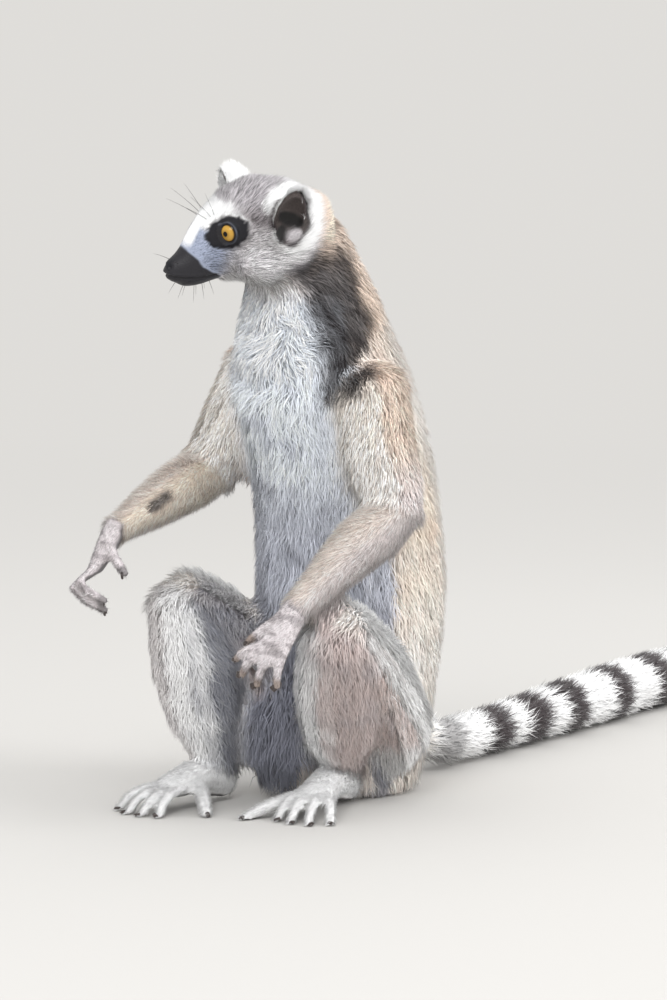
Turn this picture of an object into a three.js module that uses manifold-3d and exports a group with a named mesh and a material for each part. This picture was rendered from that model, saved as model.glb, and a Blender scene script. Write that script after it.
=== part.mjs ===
// A ring-tailed lemur sitting upright on the floor: knees up, arms towards them, tail laid out behind.
// Millimetres. +Z is up, -Y is where the body faces, +X is the animal's left. The origin is on the floor,
// in the middle of the seat. The solids reach out to the tips of the coat.
import * as THREE from "three";
import Module from "manifold-3d";

const wasm = await Module();
wasm.setup();

const v = (x, y, z) => new THREE.Vector3(x, y, z);
const degrees = THREE.MathUtils.degToRad;
const { lerp, smoothstep } = THREE.MathUtils;
const UP = v(0, 0, 1);
const DOWN = v(0, 0, -1);
const ACROSS = v(1, 0, 0);
const LEFT = 1;
const RIGHT = -1;
const SIDES = { left: LEFT, right: RIGHT };

// ---- driving dimensions --------------------------------------------------------------------------------

const GAP = 0.3; // clear space between neighbouring pieces

// Middle line of the trunk and neck, from the rump to the inside of the head, with half width and half depth.
const TORSO = [
  [v(0, 3, 20), 45, 43],
  [v(0, -1, 56), 53, 50],
  [v(0, -4, 92), 59, 57],
  [v(0, -4, 135), 61, 60],
  [v(0, -8, 182), 58, 60],
  [v(0, -21, 225), 56, 60],
  [v(-1, -34, 262), 53, 57],
  [v(-2, -40, 293), 45, 50],
  [v(-3, -46, 318), 37, 41],
  [v(-5, -55, 340), 33, 35],
  [v(-6, -66, 356), 25, 27],
];
const WAIST = { at: v(0, -5, 158), facing: v(0, -0.1, 1) };
// The soft lower belly that bulges between the thighs and hangs to the floor.
const LAP = { at: v(-16, -45, 46), half: [36, 35, 44] };
const COLLAR = { at: v(-2, -41, 289), facing: v(0, -0.42, 0.9) };

const SHOULDER = { [LEFT]: v(43, -42, 252), [RIGHT]: v(-33, -45, 261) };
const ELBOW = { [LEFT]: v(66, -44, 182), [RIGHT]: v(-64, -62, 202) };
const WRIST = { [LEFT]: v(57, -122, 131), [RIGHT]: v(-54, -157, 172) };
const HIP = { [LEFT]: v(30, -14, 45), [RIGHT]: v(-32, -14, 46) };
const KNEE = { [LEFT]: v(62, -90, 114), [RIGHT]: v(-58, -92, 122) };
const ANKLE = { [LEFT]: v(25, -41, 24), [RIGHT]: v(-43, -80, 24) };

const ARM = { shoulder: 28, middle: 24, elbow: 20, forearm: 19, lower: 15, wrist: 10.5 };
const LEG = { hip: 36, thigh: 35, aboveKnee: 30.5, knee: 24, calf: 28, shin: 24.5, ankle: 13.5 };

const HEAD_CENTRE = v(-5, -81, 350);
const HEAD_TURN = degrees(-23); // to the animal's right
const HEAD_ROLL = degrees(11); // left side down

const EYE = { x: 15.2, y: -25.3, z: 1.5, radius: 7.6 };
const SOCKET = { ahead: 7, size: [8.5, 8.5, 7.5] };
const EAR = { x: 33, z: 12.5, thickness: 8, width: 16, height: 21, lean: 8 };
// How far back each ear sits, and its turn forwards in degrees: the right ear is cupped further ahead.
const EAR_BACK = { [LEFT]: 2, [RIGHT]: -4 };
const EAR_TURN = { [LEFT]: 25, [RIGHT]: 50 };
const EAR_HOLLOW = { out: 7.5, rim: 5, halfDepth: 6 };
const NOSE = { y: -56.5, z: -22.5, size: [6, 5, 5] };

const TAIL_NODES = 5;
const TAIL_LINE = [
  v(0, 38, 34),
  v(-1, 74, 20),
  v(-6, 120, 17),
  v(-22, 260, 18),
  v(-41, 400, 18),
  v(-36, 500, 17),
  v(-20, 588, 14),
];
const TAIL_ROOT_RADIUS = 16;
const TAIL_RADIUS = 22.5;
const TAIL_TIP_TAPER = 7; // how much thinner the tail is at its tip

// ---- solids --------------------------------------------------------------------------------------------

/** An indexed geometry with no doubled vertices, as a solid. */
function solidOf(geometry) {
  const made = new wasm.Mesh({
    numProp: 3,
    vertProperties: new Float32Array(geometry.attributes.position.array),
    triVerts: new Uint32Array(geometry.index.array),
  });
  return new wasm.Manifold(made);
}

/** Rings of equal count joined into a closed skin, with a point that closes each end. */
function closedSkin(rings, first, last) {
  const sides = rings[0].length;
  const points = [first, ...rings.flat(), last];
  const at = (ring, side) => 1 + ring * sides + (side % sides);
  const index = [];
  for (let side = 0; side < sides; side++) {
    index.push(0, at(0, side + 1), at(0, side));
    for (let ring = 0; ring + 1 < rings.length; ring++) {
      index.push(at(ring, side), at(ring, side + 1), at(ring + 1, side + 1));
      index.push(at(ring, side), at(ring + 1, side + 1), at(ring + 1, side));
    }
    index.push(points.length - 1, at(rings.length - 1, side), at(rings.length - 1, side + 1));
  }
  return new THREE.BufferGeometry().setFromPoints(points).setIndex(index);
}

/**
 * Oval sections carried along a smooth line, domed at both ends.
 * A station is [centre, half width, half depth], and its width is measured along `across`.
 * `grow` makes the whole form that much fatter.
 */
function loft(stations, { across = ACROSS, sides = 14, perSpan = 2, dome = 0.75, grow = 0 } = {}) {
  const line = new THREE.CatmullRomCurve3(stations.map(([centre]) => centre));
  const sizes = new THREE.CatmullRomCurve3(stations.map(([, width, depth = width]) => v(width, depth, 0)));
  const ringAt = (t, slide, scale) => {
    const along = line.getTangent(t);
    const wide = across.clone().addScaledVector(along, -across.dot(along)).normalize();
    const deep = along.clone().cross(wide);
    const size = sizes.getPoint(t);
    const centre = line.getPoint(t).addScaledVector(along, slide);
    return Array.from({ length: sides }, (_, side) => {
      const angle = (side / sides) * 2 * Math.PI;
      const [w, d] = [Math.cos(angle) * (size.x + grow) * scale, Math.sin(angle) * (size.y + grow) * scale];
      return centre.clone().addScaledVector(wide, w).addScaledVector(deep, d);
    });
  };
  const domeAt = (t) => dome * Math.min(sizes.getPoint(t).x, sizes.getPoint(t).y) + grow;
  const [start, end] = [domeAt(0), domeAt(1)];
  const steps = perSpan * (stations.length - 1);
  const turns = [degrees(28), degrees(55)];
  const rings = [
    ...turns.toReversed().map((turn) => ringAt(0, -start * Math.sin(turn), Math.cos(turn))),
    ...Array.from({ length: steps + 1 }, (_, step) => ringAt(step / steps, 0, 1)),
    ...turns.map((turn) => ringAt(1, end * Math.sin(turn), Math.cos(turn))),
  ];
  const first = line.getPoint(0).addScaledVector(line.getTangent(0), -start);
  const last = line.getPoint(1).addScaledVector(line.getTangent(1), end);
  return solidOf(closedSkin(rings, first, last));
}

/** An ellipsoid of half sizes `half` about `centre`, turned by degrees about X, Y and Z. */
function ellipsoid(centre, half, { turn = [0, 0, 0], sides = 14, grow = 0 } = {}) {
  const rows = sides / 2;
  const rings = Array.from({ length: rows - 1 }, (_, row) => {
    const slope = ((row + 1) / rows) * Math.PI;
    return Array.from({ length: sides }, (_, side) => {
      const angle = (side / sides) * 2 * Math.PI;
      return v(Math.sin(slope) * Math.cos(angle), Math.sin(slope) * Math.sin(angle), -Math.cos(slope));
    });
  });
  const turned = new THREE.Quaternion().setFromEuler(new THREE.Euler(...turn.map(degrees)));
  const place = new THREE.Matrix4().compose(centre, turned, v(...half).addScalar(grow));
  return solidOf(closedSkin(rings, DOWN, UP).applyMatrix4(place));
}

const joined = (solids) => solids.reduce((all, solid) => all.add(solid));
const mirrored = (side, x, y, z) => v(side * x, y, z);

/** What lies on the side of a plane that `facing` points to, less half the gap. */
function beyond(solid, { at, facing }) {
  const normal = facing.clone().normalize();
  return solid.trimByPlane(normal.toArray(), normal.dot(at) + GAP / 2);
}
const behind = (solid, { at, facing }) => beyond(solid, { at, facing: facing.clone().negate() });

/** The plane that halves the bend at `joint`, facing the bone that runs to `next`. */
function bendPlane(previous, joint, next) {
  const inward = joint.clone().sub(previous).normalize();
  const outward = next.clone().sub(joint).normalize();
  return { at: joint, facing: inward.add(outward) };
}

// ---- trunk and neck ------------------------------------------------------------------------------------

const torso = (grow) => loft(TORSO, { sides: 16, grow });
const lap = (grow) => ellipsoid(LAP.at, LAP.half, { sides: 10, grow });
const belly = (grow) => joined([behind(torso(grow), WAIST), lap(grow)]);
const chest = (grow) => beyond(behind(torso(grow), COLLAR), WAIST);
const neck = (grow) => beyond(torso(grow), COLLAR);

// ---- tail ----------------------------------------------------------------------------------------------

const tailCurve = new THREE.CatmullRomCurve3(TAIL_LINE);

/** Half thickness at a share of the tail's length: slim at the root, fullest in the outer half, then blunt. */
function tailRadius(share) {
  const filling = lerp(TAIL_ROOT_RADIUS, TAIL_RADIUS, smoothstep(share, 0.05, 0.6));
  return filling - TAIL_TIP_TAPER * smoothstep(share, 0.82, 1);
}

const tail = (grow) => {
  const count = 12;
  const stations = Array.from({ length: count }, (_, i) => [
    tailCurve.getPointAt(i / (count - 1)),
    tailRadius(i / (count - 1)),
  ]);
  return loft(stations, { sides: 12, perSpan: 1, dome: 0.9, grow });
};

function tailNode(number, grow) {
  const plane = (share) => ({ at: tailCurve.getPointAt(share), facing: tailCurve.getTangentAt(share) });
  const whole = number === 0 ? tail(grow) : beyond(tail(grow), plane(number / TAIL_NODES));
  return number === TAIL_NODES - 1 ? whole : behind(whole, plane((number + 1) / TAIL_NODES));
}

// ---- arms ----------------------------------------------------------------------------------------------

const elbowPlane = (side) => bendPlane(SHOULDER[side], ELBOW[side], WRIST[side]);

function arm(side, grow) {
  const [shoulder, elbow, wrist] = [SHOULDER[side], ELBOW[side], WRIST[side]];
  return loft(
    [
      [shoulder, ARM.shoulder],
      [shoulder.clone().lerp(elbow, 0.55), ARM.middle],
      [elbow, ARM.elbow],
      [elbow.clone().lerp(wrist, 0.35), ARM.forearm],
      [elbow.clone().lerp(wrist, 0.7), ARM.lower],
      [wrist, ARM.wrist],
    ],
    { sides: 12, grow },
  );
}

const upperArm = (side, grow) => behind(arm(side, grow), elbowPlane(side));
const wristPlane = (side) => ({ at: WRIST[side], facing: WRIST[side].clone().sub(ELBOW[side]) });
const forearm = (side, grow) => behind(beyond(arm(side, grow), elbowPlane(side)), wristPlane(side));

/** A finger or toe: two stretches of `lengths`. It bends towards `palm` by `bends` degrees at its root, between
 * the stretches and within the second one. */
function digit(root, heading, palm, { lengths, bends, radius, grow }) {
  const axis = heading.clone().cross(palm).normalize();
  const way = heading.clone().normalize();
  const joints = [root.clone()];
  const step = (length) => joints.push(joints.at(-1).clone().addScaledVector(way, length));
  way.applyAxisAngle(axis, degrees(bends[0]));
  step(lengths[0]);
  way.applyAxisAngle(axis, degrees(bends[1]));
  step(lengths[1] * 0.45);
  way.applyAxisAngle(axis, degrees(bends[2]));
  step(lengths[1] * 0.55);
  const radii = [1.15, 1, 0.95, 0.9].map((share) => share * radius);
  const stations = joints.map((joint, i) => [joint, radii[i]]);
  return loft(stations, { across: axis, sides: 6, perSpan: 1, dome: 0.9, grow });
}

// Fingers from the index to the little one: place across the knuckles and lengths of the two stretches.
const FINGERS = [
  { place: 0.9, lengths: [11, 14] },
  { place: 0.35, lengths: [13, 17] },
  { place: -0.25, lengths: [13, 17] },
  { place: -0.85, lengths: [11, 14] },
];
const PALM = { halfWidth: 10.5, wristWidth: 9, halfDepth: 6.5 };
const FINGER_RADIUS = 3.5;
const THUMB = { ahead: 9, aside: 6, radius: 3.8 };

// How each hand lies: `along` runs from wrist to knuckles and `thumb` across them. Then the palm's length, each
// finger's spread in degrees, how far the fingers bend and reach, and the thumb's own lengths, bends and how far
// it stands off.
const HAND_LIE = {
  [LEFT]: {
    along: v(-0.04, -0.66, -0.75),
    thumb: v(-0.91, -0.28, 0.29),
    palmLength: 29,
    spreads: [54, 33, 13, -10],
    bends: [8, 24, 30],
    reach: 0.85,
    thumbLengths: [10, 13],
    thumbBends: [10, 8, 7],
    thumbOut: 0.55,
  },
  [RIGHT]: {
    along: v(-0.2, -0.45, -0.87),
    thumb: v(0.7, -0.66, 0.18),
    palmLength: 26,
    spreads: [24, 10, -3, -16],
    bends: [-23, 98, 12],
    reach: 1.36,
    thumbLengths: [11, 11],
    thumbBends: [42, 8, 6],
    thumbOut: 0.5,
  },
};

function hand(side, grow) {
  const { along, thumb, palmLength, spreads, bends, reach } = HAND_LIE[side];
  const { thumbLengths, thumbBends, thumbOut } = HAND_LIE[side];
  const palm = side === LEFT ? along.clone().cross(thumb) : thumb.clone().cross(along);
  const [wrist, knuckles] = [WRIST[side], WRIST[side].clone().addScaledVector(along, palmLength)];
  const palmBlock = loft(
    [
      [wrist.clone().addScaledVector(along, -4), PALM.wristWidth, PALM.halfDepth + 1.5],
      [wrist.clone().lerp(knuckles, 0.45), PALM.wristWidth + 0.5, PALM.halfDepth + 0.5],
      [knuckles, PALM.halfWidth, PALM.halfDepth - 1.5],
    ],
    { across: thumb, sides: 12, dome: 0.5, grow },
  );
  const turnAbout = side === LEFT ? palm.clone().negate() : palm;
  const fingers = FINGERS.map(({ place, lengths }, i) => {
    const root = knuckles.clone().addScaledVector(thumb, place * (PALM.halfWidth - FINGER_RADIUS * 0.8));
    const heading = along.clone().applyAxisAngle(turnAbout, degrees(-spreads[i]));
    const reached = lengths.map((length) => length * reach);
    return digit(root, heading, palm, { lengths: reached, bends, radius: FINGER_RADIUS, grow });
  });
  const thumbRoot = wrist.clone().addScaledVector(along, THUMB.ahead).addScaledVector(thumb, THUMB.aside);
  const thumbWay = along.clone().multiplyScalar(0.8).addScaledVector(thumb, thumbOut);
  const thumbForm = { lengths: thumbLengths, bends: thumbBends, radius: THUMB.radius, grow };
  const thumbDigit = digit(thumbRoot, thumbWay, palm, thumbForm);
  return beyond(joined([palmBlock, ...fingers, thumbDigit]), wristPlane(side));
}

// ---- legs ----------------------------------------------------------------------------------------------

const kneePlane = (side) => bendPlane(HIP[side], KNEE[side], ANKLE[side]);
const anklePlane = (side) => ({ at: ANKLE[side], facing: v(0, -0.25, -1) });

function thigh(side, grow) {
  const [hip, knee] = [HIP[side], KNEE[side]];
  const whole = loft(
    [
      [hip, LEG.hip],
      [hip.clone().lerp(knee, 0.35), LEG.thigh, LEG.thigh + 2],
      [hip.clone().lerp(knee, 0.72), LEG.aboveKnee, LEG.aboveKnee + 2],
      [knee, LEG.knee, LEG.knee + 1],
    ],
    { sides: 12, grow },
  );
  return behind(whole, kneePlane(side));
}

function shank(side, grow) {
  const [knee, ankle] = [KNEE[side], ANKLE[side]];
  const whole = loft(
    [
      [knee, LEG.knee, LEG.knee + 1],
      [knee.clone().lerp(ankle, 0.35), LEG.calf, LEG.calf + 3],
      [knee.clone().lerp(ankle, 0.7), LEG.shin, LEG.shin + 3],
      [ankle, LEG.ankle, LEG.ankle + 1],
    ],
    { sides: 12, grow },
  );
  return behind(beyond(whole, kneePlane(side)), anklePlane(side));
}

// Toes from the second to the fifth: place across the ball of the foot, spread in degrees and lengths.
const TOES = [
  { place: 0.85, spread: 14, lengths: [13, 17] },
  { place: 0.3, spread: 3, lengths: [16, 19] },
  { place: -0.3, spread: -8, lengths: [16, 20] },
  { place: -0.85, spread: -24, lengths: [14, 17] },
];
const FOOT = { heel: 12, ball: 40, halfWidth: 13, rise: 13 };
const TOE_RADIUS = 4;
const TOE_BENDS = [0, 21, 21];
const BIG_TOE = { radius: 5.2, bends: [8, 7, 7] };
const FOOT_LIE = {
  [LEFT]: { turn: 17, bigToe: { ahead: 31, out: 36, lengths: [26, 22] } },
  [RIGHT]: { turn: 2, bigToe: { ahead: 22, out: 50, lengths: [18, 17] } },
};

function foot(side, grow) {
  const { turn, bigToe } = FOOT_LIE[side];
  const ankle = ANKLE[side];
  const along = v(0, -1, 0).applyAxisAngle(UP, degrees(turn) * side);
  const inward = mirrored(side, -1, 0, 0).applyAxisAngle(UP, degrees(turn) * side);
  const place = (ahead, height, aside = 0) =>
    v(ankle.x, ankle.y, height).addScaledVector(along, ahead).addScaledVector(inward, aside);
  const sole = loft(
    [
      [place(-FOOT.heel + 5, 10), 9, 11],
      [place(3, 15), 11, 14],
      [place(22, FOOT.rise + 3), 12, 11],
      [place(FOOT.ball, FOOT.rise), FOOT.halfWidth, 7.5],
    ],
    { across: inward, sides: 12, dome: 0.6, grow },
  );
  const toes = TOES.map(({ place: across, spread, lengths }) => {
    const root = place(FOOT.ball, FOOT.rise, across * (FOOT.halfWidth - TOE_RADIUS * 0.8));
    const heading = along.clone().applyAxisAngle(UP, degrees(-spread) * side).addScaledVector(UP, -0.12);
    return digit(root, heading, DOWN, { lengths, bends: TOE_BENDS, radius: TOE_RADIUS, grow });
  });
  const bigToeWay = along.clone().applyAxisAngle(UP, degrees(-bigToe.out) * side);
  const { ahead, lengths } = bigToe;
  const big = digit(place(ahead, 11, 7), bigToeWay, DOWN, { ...BIG_TOE, lengths, grow });
  return beyond(joined([sole, ...toes, big]), anklePlane(side));
}

// ---- head, in its own frame: nose towards -Y, left towards +X ------------------------------------------

const headPlace = new THREE.Matrix4().compose(
  HEAD_CENTRE,
  new THREE.Quaternion().setFromEuler(new THREE.Euler(0, HEAD_ROLL, HEAD_TURN, "ZYX")),
  v(1, 1, 1),
);

// Middle line of the head from the back of the skull to the nose, with half width and half height.
const HEAD = [
  [v(0, 30, 0), 27, 26],
  [v(0, 14, -1), 34, 33],
  [v(0, -3, -2), 35, 35.5],
  [v(0, -16, -5.5), 28.5, 32.5],
  [v(0, -27, -10.8), 20, 25.8],
  [v(0, -36, -16.8), 14.5, 19.8],
  [v(0, -44, -21.7), 11.8, 14.7],
  [v(0, -51, -24.4), 9.8, 11.2],
  [v(0, -57, -24.8), 7.5, 7.3],
];

function head(grow) {
  const skull = loft(HEAD, { sides: 18, perSpan: 1, dome: 0.6, grow });
  const brows = [LEFT, RIGHT].map((side) =>
    ellipsoid(mirrored(side, 11.5, -22, 6.5), [10, 9, 8], { turn: [20, 0, side * 30], sides: 12, grow }),
  );
  const cheeks = [LEFT, RIGHT].map((side) =>
    ellipsoid(mirrored(side, 18, -8, -17), [15, 20, 15], { turn: [0, 0, side * 25], sides: 12, grow }),
  );
  const whole = joined([skull, ...brows, ...cheeks]);
  if (grow) return whole;
  const sockets = [LEFT, RIGHT].map((side) => {
    const outward = mirrored(side, 0.59, -0.81, 0).multiplyScalar(SOCKET.ahead);
    return ellipsoid(mirrored(side, EYE.x, EYE.y, EYE.z).add(outward), SOCKET.size, { sides: 12 });
  });
  return whole.subtract(joined(sockets));
}

const nose = (grow) => ellipsoid(v(0, NOSE.y, NOSE.z), NOSE.size, { turn: [20, 0, 0], sides: 10, grow });
const eye = (side, grow) =>
  ellipsoid(mirrored(side, EYE.x, EYE.y, EYE.z), [EYE.radius, EYE.radius, EYE.radius], { sides: 10, grow });

/** A rounded cup, open to the side and the front. */
function ear(side, grow) {
  const centre = mirrored(side, EAR.x, EAR_BACK[side], EAR.z);
  const turn = [EAR.lean, side * 22, side * EAR_TURN[side]];
  const outer = ellipsoid(centre, [EAR.thickness, EAR.width, EAR.height], { turn, sides: 12, grow });
  if (grow) return outer;
  const forwards = degrees(EAR_TURN[side]);
  const [out, ahead] = [EAR_HOLLOW.out * Math.cos(forwards), EAR_HOLLOW.out * Math.sin(forwards)];
  const hollow = centre.clone().add(mirrored(side, out, -ahead, -1));
  const size = [EAR_HOLLOW.halfDepth, EAR.width - EAR_HOLLOW.rim, EAR.height - EAR_HOLLOW.rim];
  return outer.subtract(ellipsoid(hollow, size, { turn, sides: 12 }));
}

// ---- the pieces, in the order in which each gives way to those before it -------------------------------

const bothSides = (name, shape) =>
  Object.entries(SIDES).map(([word, side]) => ({
    name: `${name}_${word}`,
    shape: (grow) => shape(side, grow),
  }));
const inHead = (pieces) =>
  pieces.map(({ name, shape }) => ({ name, shape: (grow) => shape(grow).transform(headPlace.toArray()) }));

const COAT = { grey: 0xb3a596, pale: 0xe6e3de, dark: 0x3c3432, iris: 0xd09a28, brown: 0x8d7f76 };
const pieces = [
  ...inHead([
    ...bothSides("eye", eye),
    { name: "nose", shape: nose },
    { name: "head", shape: head },
    ...bothSides("ear", ear),
  ]),
  { name: "neck", shape: neck },
  { name: "chest", shape: chest },
  { name: "belly", shape: belly },
  ...Array.from({ length: TAIL_NODES }, (_, i) => ({
    name: `tail_${i + 1}`,
    shape: (grow) => tailNode(i, grow),
  })),
  ...bothSides("thigh", thigh),
  ...bothSides("shank", shank),
  ...bothSides("foot", foot),
  ...bothSides("upper_arm", upperArm),
  ...bothSides("forearm", forearm),
  ...bothSides("hand", hand),
];

const colourOf = (name) => {
  if (name.startsWith("eye")) return COAT.iris;
  if (name === "nose") return COAT.dark;
  if (/foot|chest|ear/.test(name)) return COAT.pale;
  return /head|thigh/.test(name) ? COAT.brown : COAT.grey;
};

const meet = (a, b) => {
  const [one, two] = [a.boundingBox(), b.boundingBox()];
  return [0, 1, 2].every((i) => one.min[i] < two.max[i] && two.min[i] < one.max[i]);
};
const larger = (one, other) => (one.volume() > other.volume() ? one : other);
const largest = (solid) => solid.decompose().reduce(larger);

const animal = new THREE.Group();
const before = [];
for (const { name, shape } of pieces) {
  let solid = shape(0).trimByPlane([0, 0, 1], 0);
  for (const other of before) {
    if (meet(solid, other)) solid = solid.subtract(other);
  }
  before.push(shape(GAP));
  const { vertProperties, triVerts } = largest(solid).getMesh();
  const geometry = new THREE.BufferGeometry()
    .setAttribute("position", new THREE.BufferAttribute(vertProperties, 3))
    .setIndex(new THREE.BufferAttribute(triVerts, 1));
  const finish = new THREE.MeshStandardMaterial({ color: colourOf(name), roughness: 0.9, metalness: 0 });
  const mesh = new THREE.Mesh(geometry, finish);
  mesh.name = name;
  animal.add(mesh);
}

export default animal;
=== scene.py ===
"""A ring-tailed lemur sitting upright: one skin under a coat of modelled locks, eyes, nails and whiskers.

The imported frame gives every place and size. The skin is the frame's solids joined, smoothed and drawn in by
the depth of the coat. The coat is grown on that skin as thin three-sided locks that follow the lie of the
fur. Lengths named in millimetres are turned into metres where they are used.
"""

import copy
import math

import bpy
import numpy as np
from bpy.props import FloatProperty, FloatVectorProperty, PointerProperty
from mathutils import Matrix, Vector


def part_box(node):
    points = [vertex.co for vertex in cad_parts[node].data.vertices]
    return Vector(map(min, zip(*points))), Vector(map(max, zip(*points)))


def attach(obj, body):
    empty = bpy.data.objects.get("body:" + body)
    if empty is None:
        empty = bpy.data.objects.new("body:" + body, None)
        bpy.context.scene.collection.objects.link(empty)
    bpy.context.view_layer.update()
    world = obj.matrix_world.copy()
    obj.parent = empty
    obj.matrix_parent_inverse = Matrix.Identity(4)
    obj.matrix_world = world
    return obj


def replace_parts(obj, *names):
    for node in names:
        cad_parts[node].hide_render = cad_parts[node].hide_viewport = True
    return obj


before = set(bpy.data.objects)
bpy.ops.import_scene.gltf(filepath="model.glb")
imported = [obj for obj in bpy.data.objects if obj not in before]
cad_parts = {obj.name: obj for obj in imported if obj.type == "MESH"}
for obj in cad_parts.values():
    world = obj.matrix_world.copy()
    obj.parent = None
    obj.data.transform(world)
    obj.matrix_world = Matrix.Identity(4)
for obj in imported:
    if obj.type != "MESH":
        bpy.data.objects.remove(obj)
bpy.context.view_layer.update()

bl_info = {
    "name": "Ring-tailed lemur",
    "version": (1, 0, 0),
    "blender": (4, 5, 0),
    "location": "View3D > Sidebar > Lemur",
    "description": "Skin, coat, eyes, nails, whiskers and stage of a sitting ring-tailed lemur",
    "category": "Object",
}

MM = 0.001
SAME_PLACE = 0.001 * MM  # vertices closer than this are one
ROOT_BODY = "root"
SEED = 11


def pair(name):
    """The names of the left and the right part of a kind."""
    return [f"{name}_left", f"{name}_right"]


TAIL_LENGTHS = 5
TAIL = [f"tail_{number}" for number in range(1, TAIL_LENGTHS + 1)]
FLESH = ["nose", "head", *pair("ear"), "neck", "chest", "belly", *TAIL]
for limb in ("thigh", "shank", "foot", "upper_arm", "forearm", "hand"):
    FLESH += pair(limb)
PARTS = FLESH + pair("eye")
PART = {name: number for number, name in enumerate(PARTS)}


# ---- arrays --------------------------------------------------------------------------------------


def unit(vectors):
    """Each vector over its own length."""
    return vectors / np.maximum(np.linalg.norm(vectors, axis=-1, keepdims=True), 1e-12)


def dot(a, b):
    """The sum of the products of the vectors' numbers, row by row."""
    return np.sum(a * b, axis=-1)


def ease(low, high, values):
    """0 below low, 1 above high and a smooth S between them."""
    share = np.clip((values - low) / (high - low), 0, 1)
    return share * share * (3 - 2 * share)


def bump(values, centre, width):
    """A bell of height 1 about centre."""
    return np.exp(-(((values - centre) / width) ** 2))


def mix(a, b, share):
    """The share of the way from a to b; where a row has several numbers, its share goes for all of them."""
    if max(np.ndim(a), np.ndim(b)) > np.ndim(share):
        share = np.asarray(share)[..., None]
    return a + (b - a) * share


def linear(*srgb):
    """A display colour, 0 to 255, as scene-linear light."""
    share = np.array(srgb, float) / 255
    return np.where(share < 0.04045, share / 12.92, ((share + 0.055) / 1.055) ** 2.4)


def wobble(points, scale, phase=0.0):
    """Smooth waves between about -1 and 1, `scale` long: a sum of bent sines along five skew directions."""
    total = np.zeros(len(points))
    for turn in range(5):
        a, b = 2.4 * turn + phase, 1.3 * turn + 0.7 + phase
        way = np.array([math.cos(a) * math.sin(b), math.sin(a) * math.sin(b), math.cos(b)])
        along = points @ way * (2 * math.pi / scale) * (0.8 + 0.13 * turn)
        total += np.sin(along + 1.7 * np.sin(along * 0.47 + turn + phase))
    return total / 3


def points_of(mesh):
    """The mesh's vertices, a row each."""
    points = np.empty(len(mesh.vertices) * 3)
    mesh.vertices.foreach_get("co", points)
    return points.reshape(-1, 3)


def triangles_of(mesh):
    """The vertex numbers of the mesh's triangles, a row each."""
    mesh.calc_loop_triangles()
    corners = np.empty(len(mesh.loop_triangles) * 3, np.int64)
    mesh.loop_triangles.foreach_get("vertices", corners)
    return corners.reshape(-1, 3)


def node_shape(name):
    """A frame node's vertices and triangles, with doubled vertices merged."""
    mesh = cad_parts[name].data
    points, corners = points_of(mesh), triangles_of(mesh)
    keys = np.round(points / SAME_PLACE).astype(np.int64)
    _, first, inverse = np.unique(keys, axis=0, return_index=True, return_inverse=True)
    triangles = inverse.reshape(-1)[corners]
    whole = (triangles != np.roll(triangles, -1, 1)).all(1)
    return points[first], triangles[whole]


def normals_of(points, faces):
    """Vertex normals: the faces' area vectors summed at their corners."""
    if faces.shape[1] == 4:
        areas = np.cross(points[faces[:, 2]] - points[faces[:, 0]], points[faces[:, 3]] - points[faces[:, 1]])
    else:
        areas = np.cross(points[faces[:, 1]] - points[faces[:, 0]], points[faces[:, 2]] - points[faces[:, 0]])
    total = np.zeros_like(points)
    for corner in range(faces.shape[1]):
        for axis in range(3):
            total[:, axis] += np.bincount(faces[:, corner], areas[:, axis], len(points))
    return unit(total)


def edges_of(faces):
    """Each edge of the faces once, as pairs of vertices."""
    following = np.roll(faces, -1, 1)
    ends = np.concatenate([np.stack([faces[:, i], following[:, i]], 1) for i in range(faces.shape[1])])
    return np.unique(np.sort(ends, 1), axis=0)


def relaxed(values, edges, rounds, share=0.5):
    """Values drawn towards the mean of their neighbours, `rounds` times, by `share` each time."""
    count = np.bincount(edges.ravel(), minlength=len(values)).astype(float)
    count[count == 0] = 1
    table = values.reshape(len(values), -1).astype(float).copy()
    share = np.broadcast_to(share, len(values))
    a, b = edges.T
    for _ in range(rounds):
        for column in range(table.shape[1]):
            was = table[:, column]
            mean = (np.bincount(a, was[b], len(was)) + np.bincount(b, was[a], len(was))) / count
            table[:, column] = was + share * (mean - was)
    return table.reshape(values.shape)


def mesh_from(name, points, faces, smooth=True):
    """A mesh with all faces of one size, written as whole arrays."""
    mesh = bpy.data.meshes.new(name)
    mesh.vertices.add(len(points))
    mesh.vertices.foreach_set("co", np.ascontiguousarray(points, np.float32).ravel())
    size = faces.shape[1]
    mesh.loops.add(faces.size)
    mesh.loops.foreach_set("vertex_index", np.ascontiguousarray(faces, np.int32).ravel())
    mesh.polygons.add(len(faces))
    mesh.polygons.foreach_set("loop_start", np.arange(0, faces.size, size, dtype=np.int32))
    mesh.polygons.foreach_set("use_smooth", np.full(len(faces), smooth))
    mesh.update(calc_edges=True)
    return mesh


def add_colour(mesh, name, colours):
    """A colour for each vertex, kept in full precision."""
    layer = mesh.attributes.new(name, "FLOAT_COLOR", "POINT")
    full = np.ones((len(colours), 4), np.float32)
    full[:, :3] = colours
    layer.data.foreach_set("color", full.ravel())


def add_number(mesh, name, numbers):
    """A number for each vertex."""
    mesh.attributes.new(name, "FLOAT", "POINT").data.foreach_set("value", np.asarray(numbers, np.float32))


def show(name, mesh, material):
    """The mesh as a piece at the origin that rides on the still body."""
    piece = bpy.data.objects.new(name, mesh)
    bpy.context.scene.collection.objects.link(piece)
    mesh.materials.append(material)
    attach(piece, ROOT_BODY)
    return piece


# ---- the head's own frame ------------------------------------------------------------------------

EYES_AHEAD, EYES_UP = 25.3, 1.5  # millimetres from the middle of the head to the line between the eyes
SNOUT_SLOPE = math.atan2(24.0, 31.2)  # how far the line from the eyes to the nose slopes down
EYE_OUT, EYE_DOWN = math.radians(26), -0.14  # how far the eyes look outwards, and how far down


def middle_of(name):
    """The middle of a node's box."""
    low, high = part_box(name)
    return (np.array(low) + np.array(high)) / 2


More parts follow.
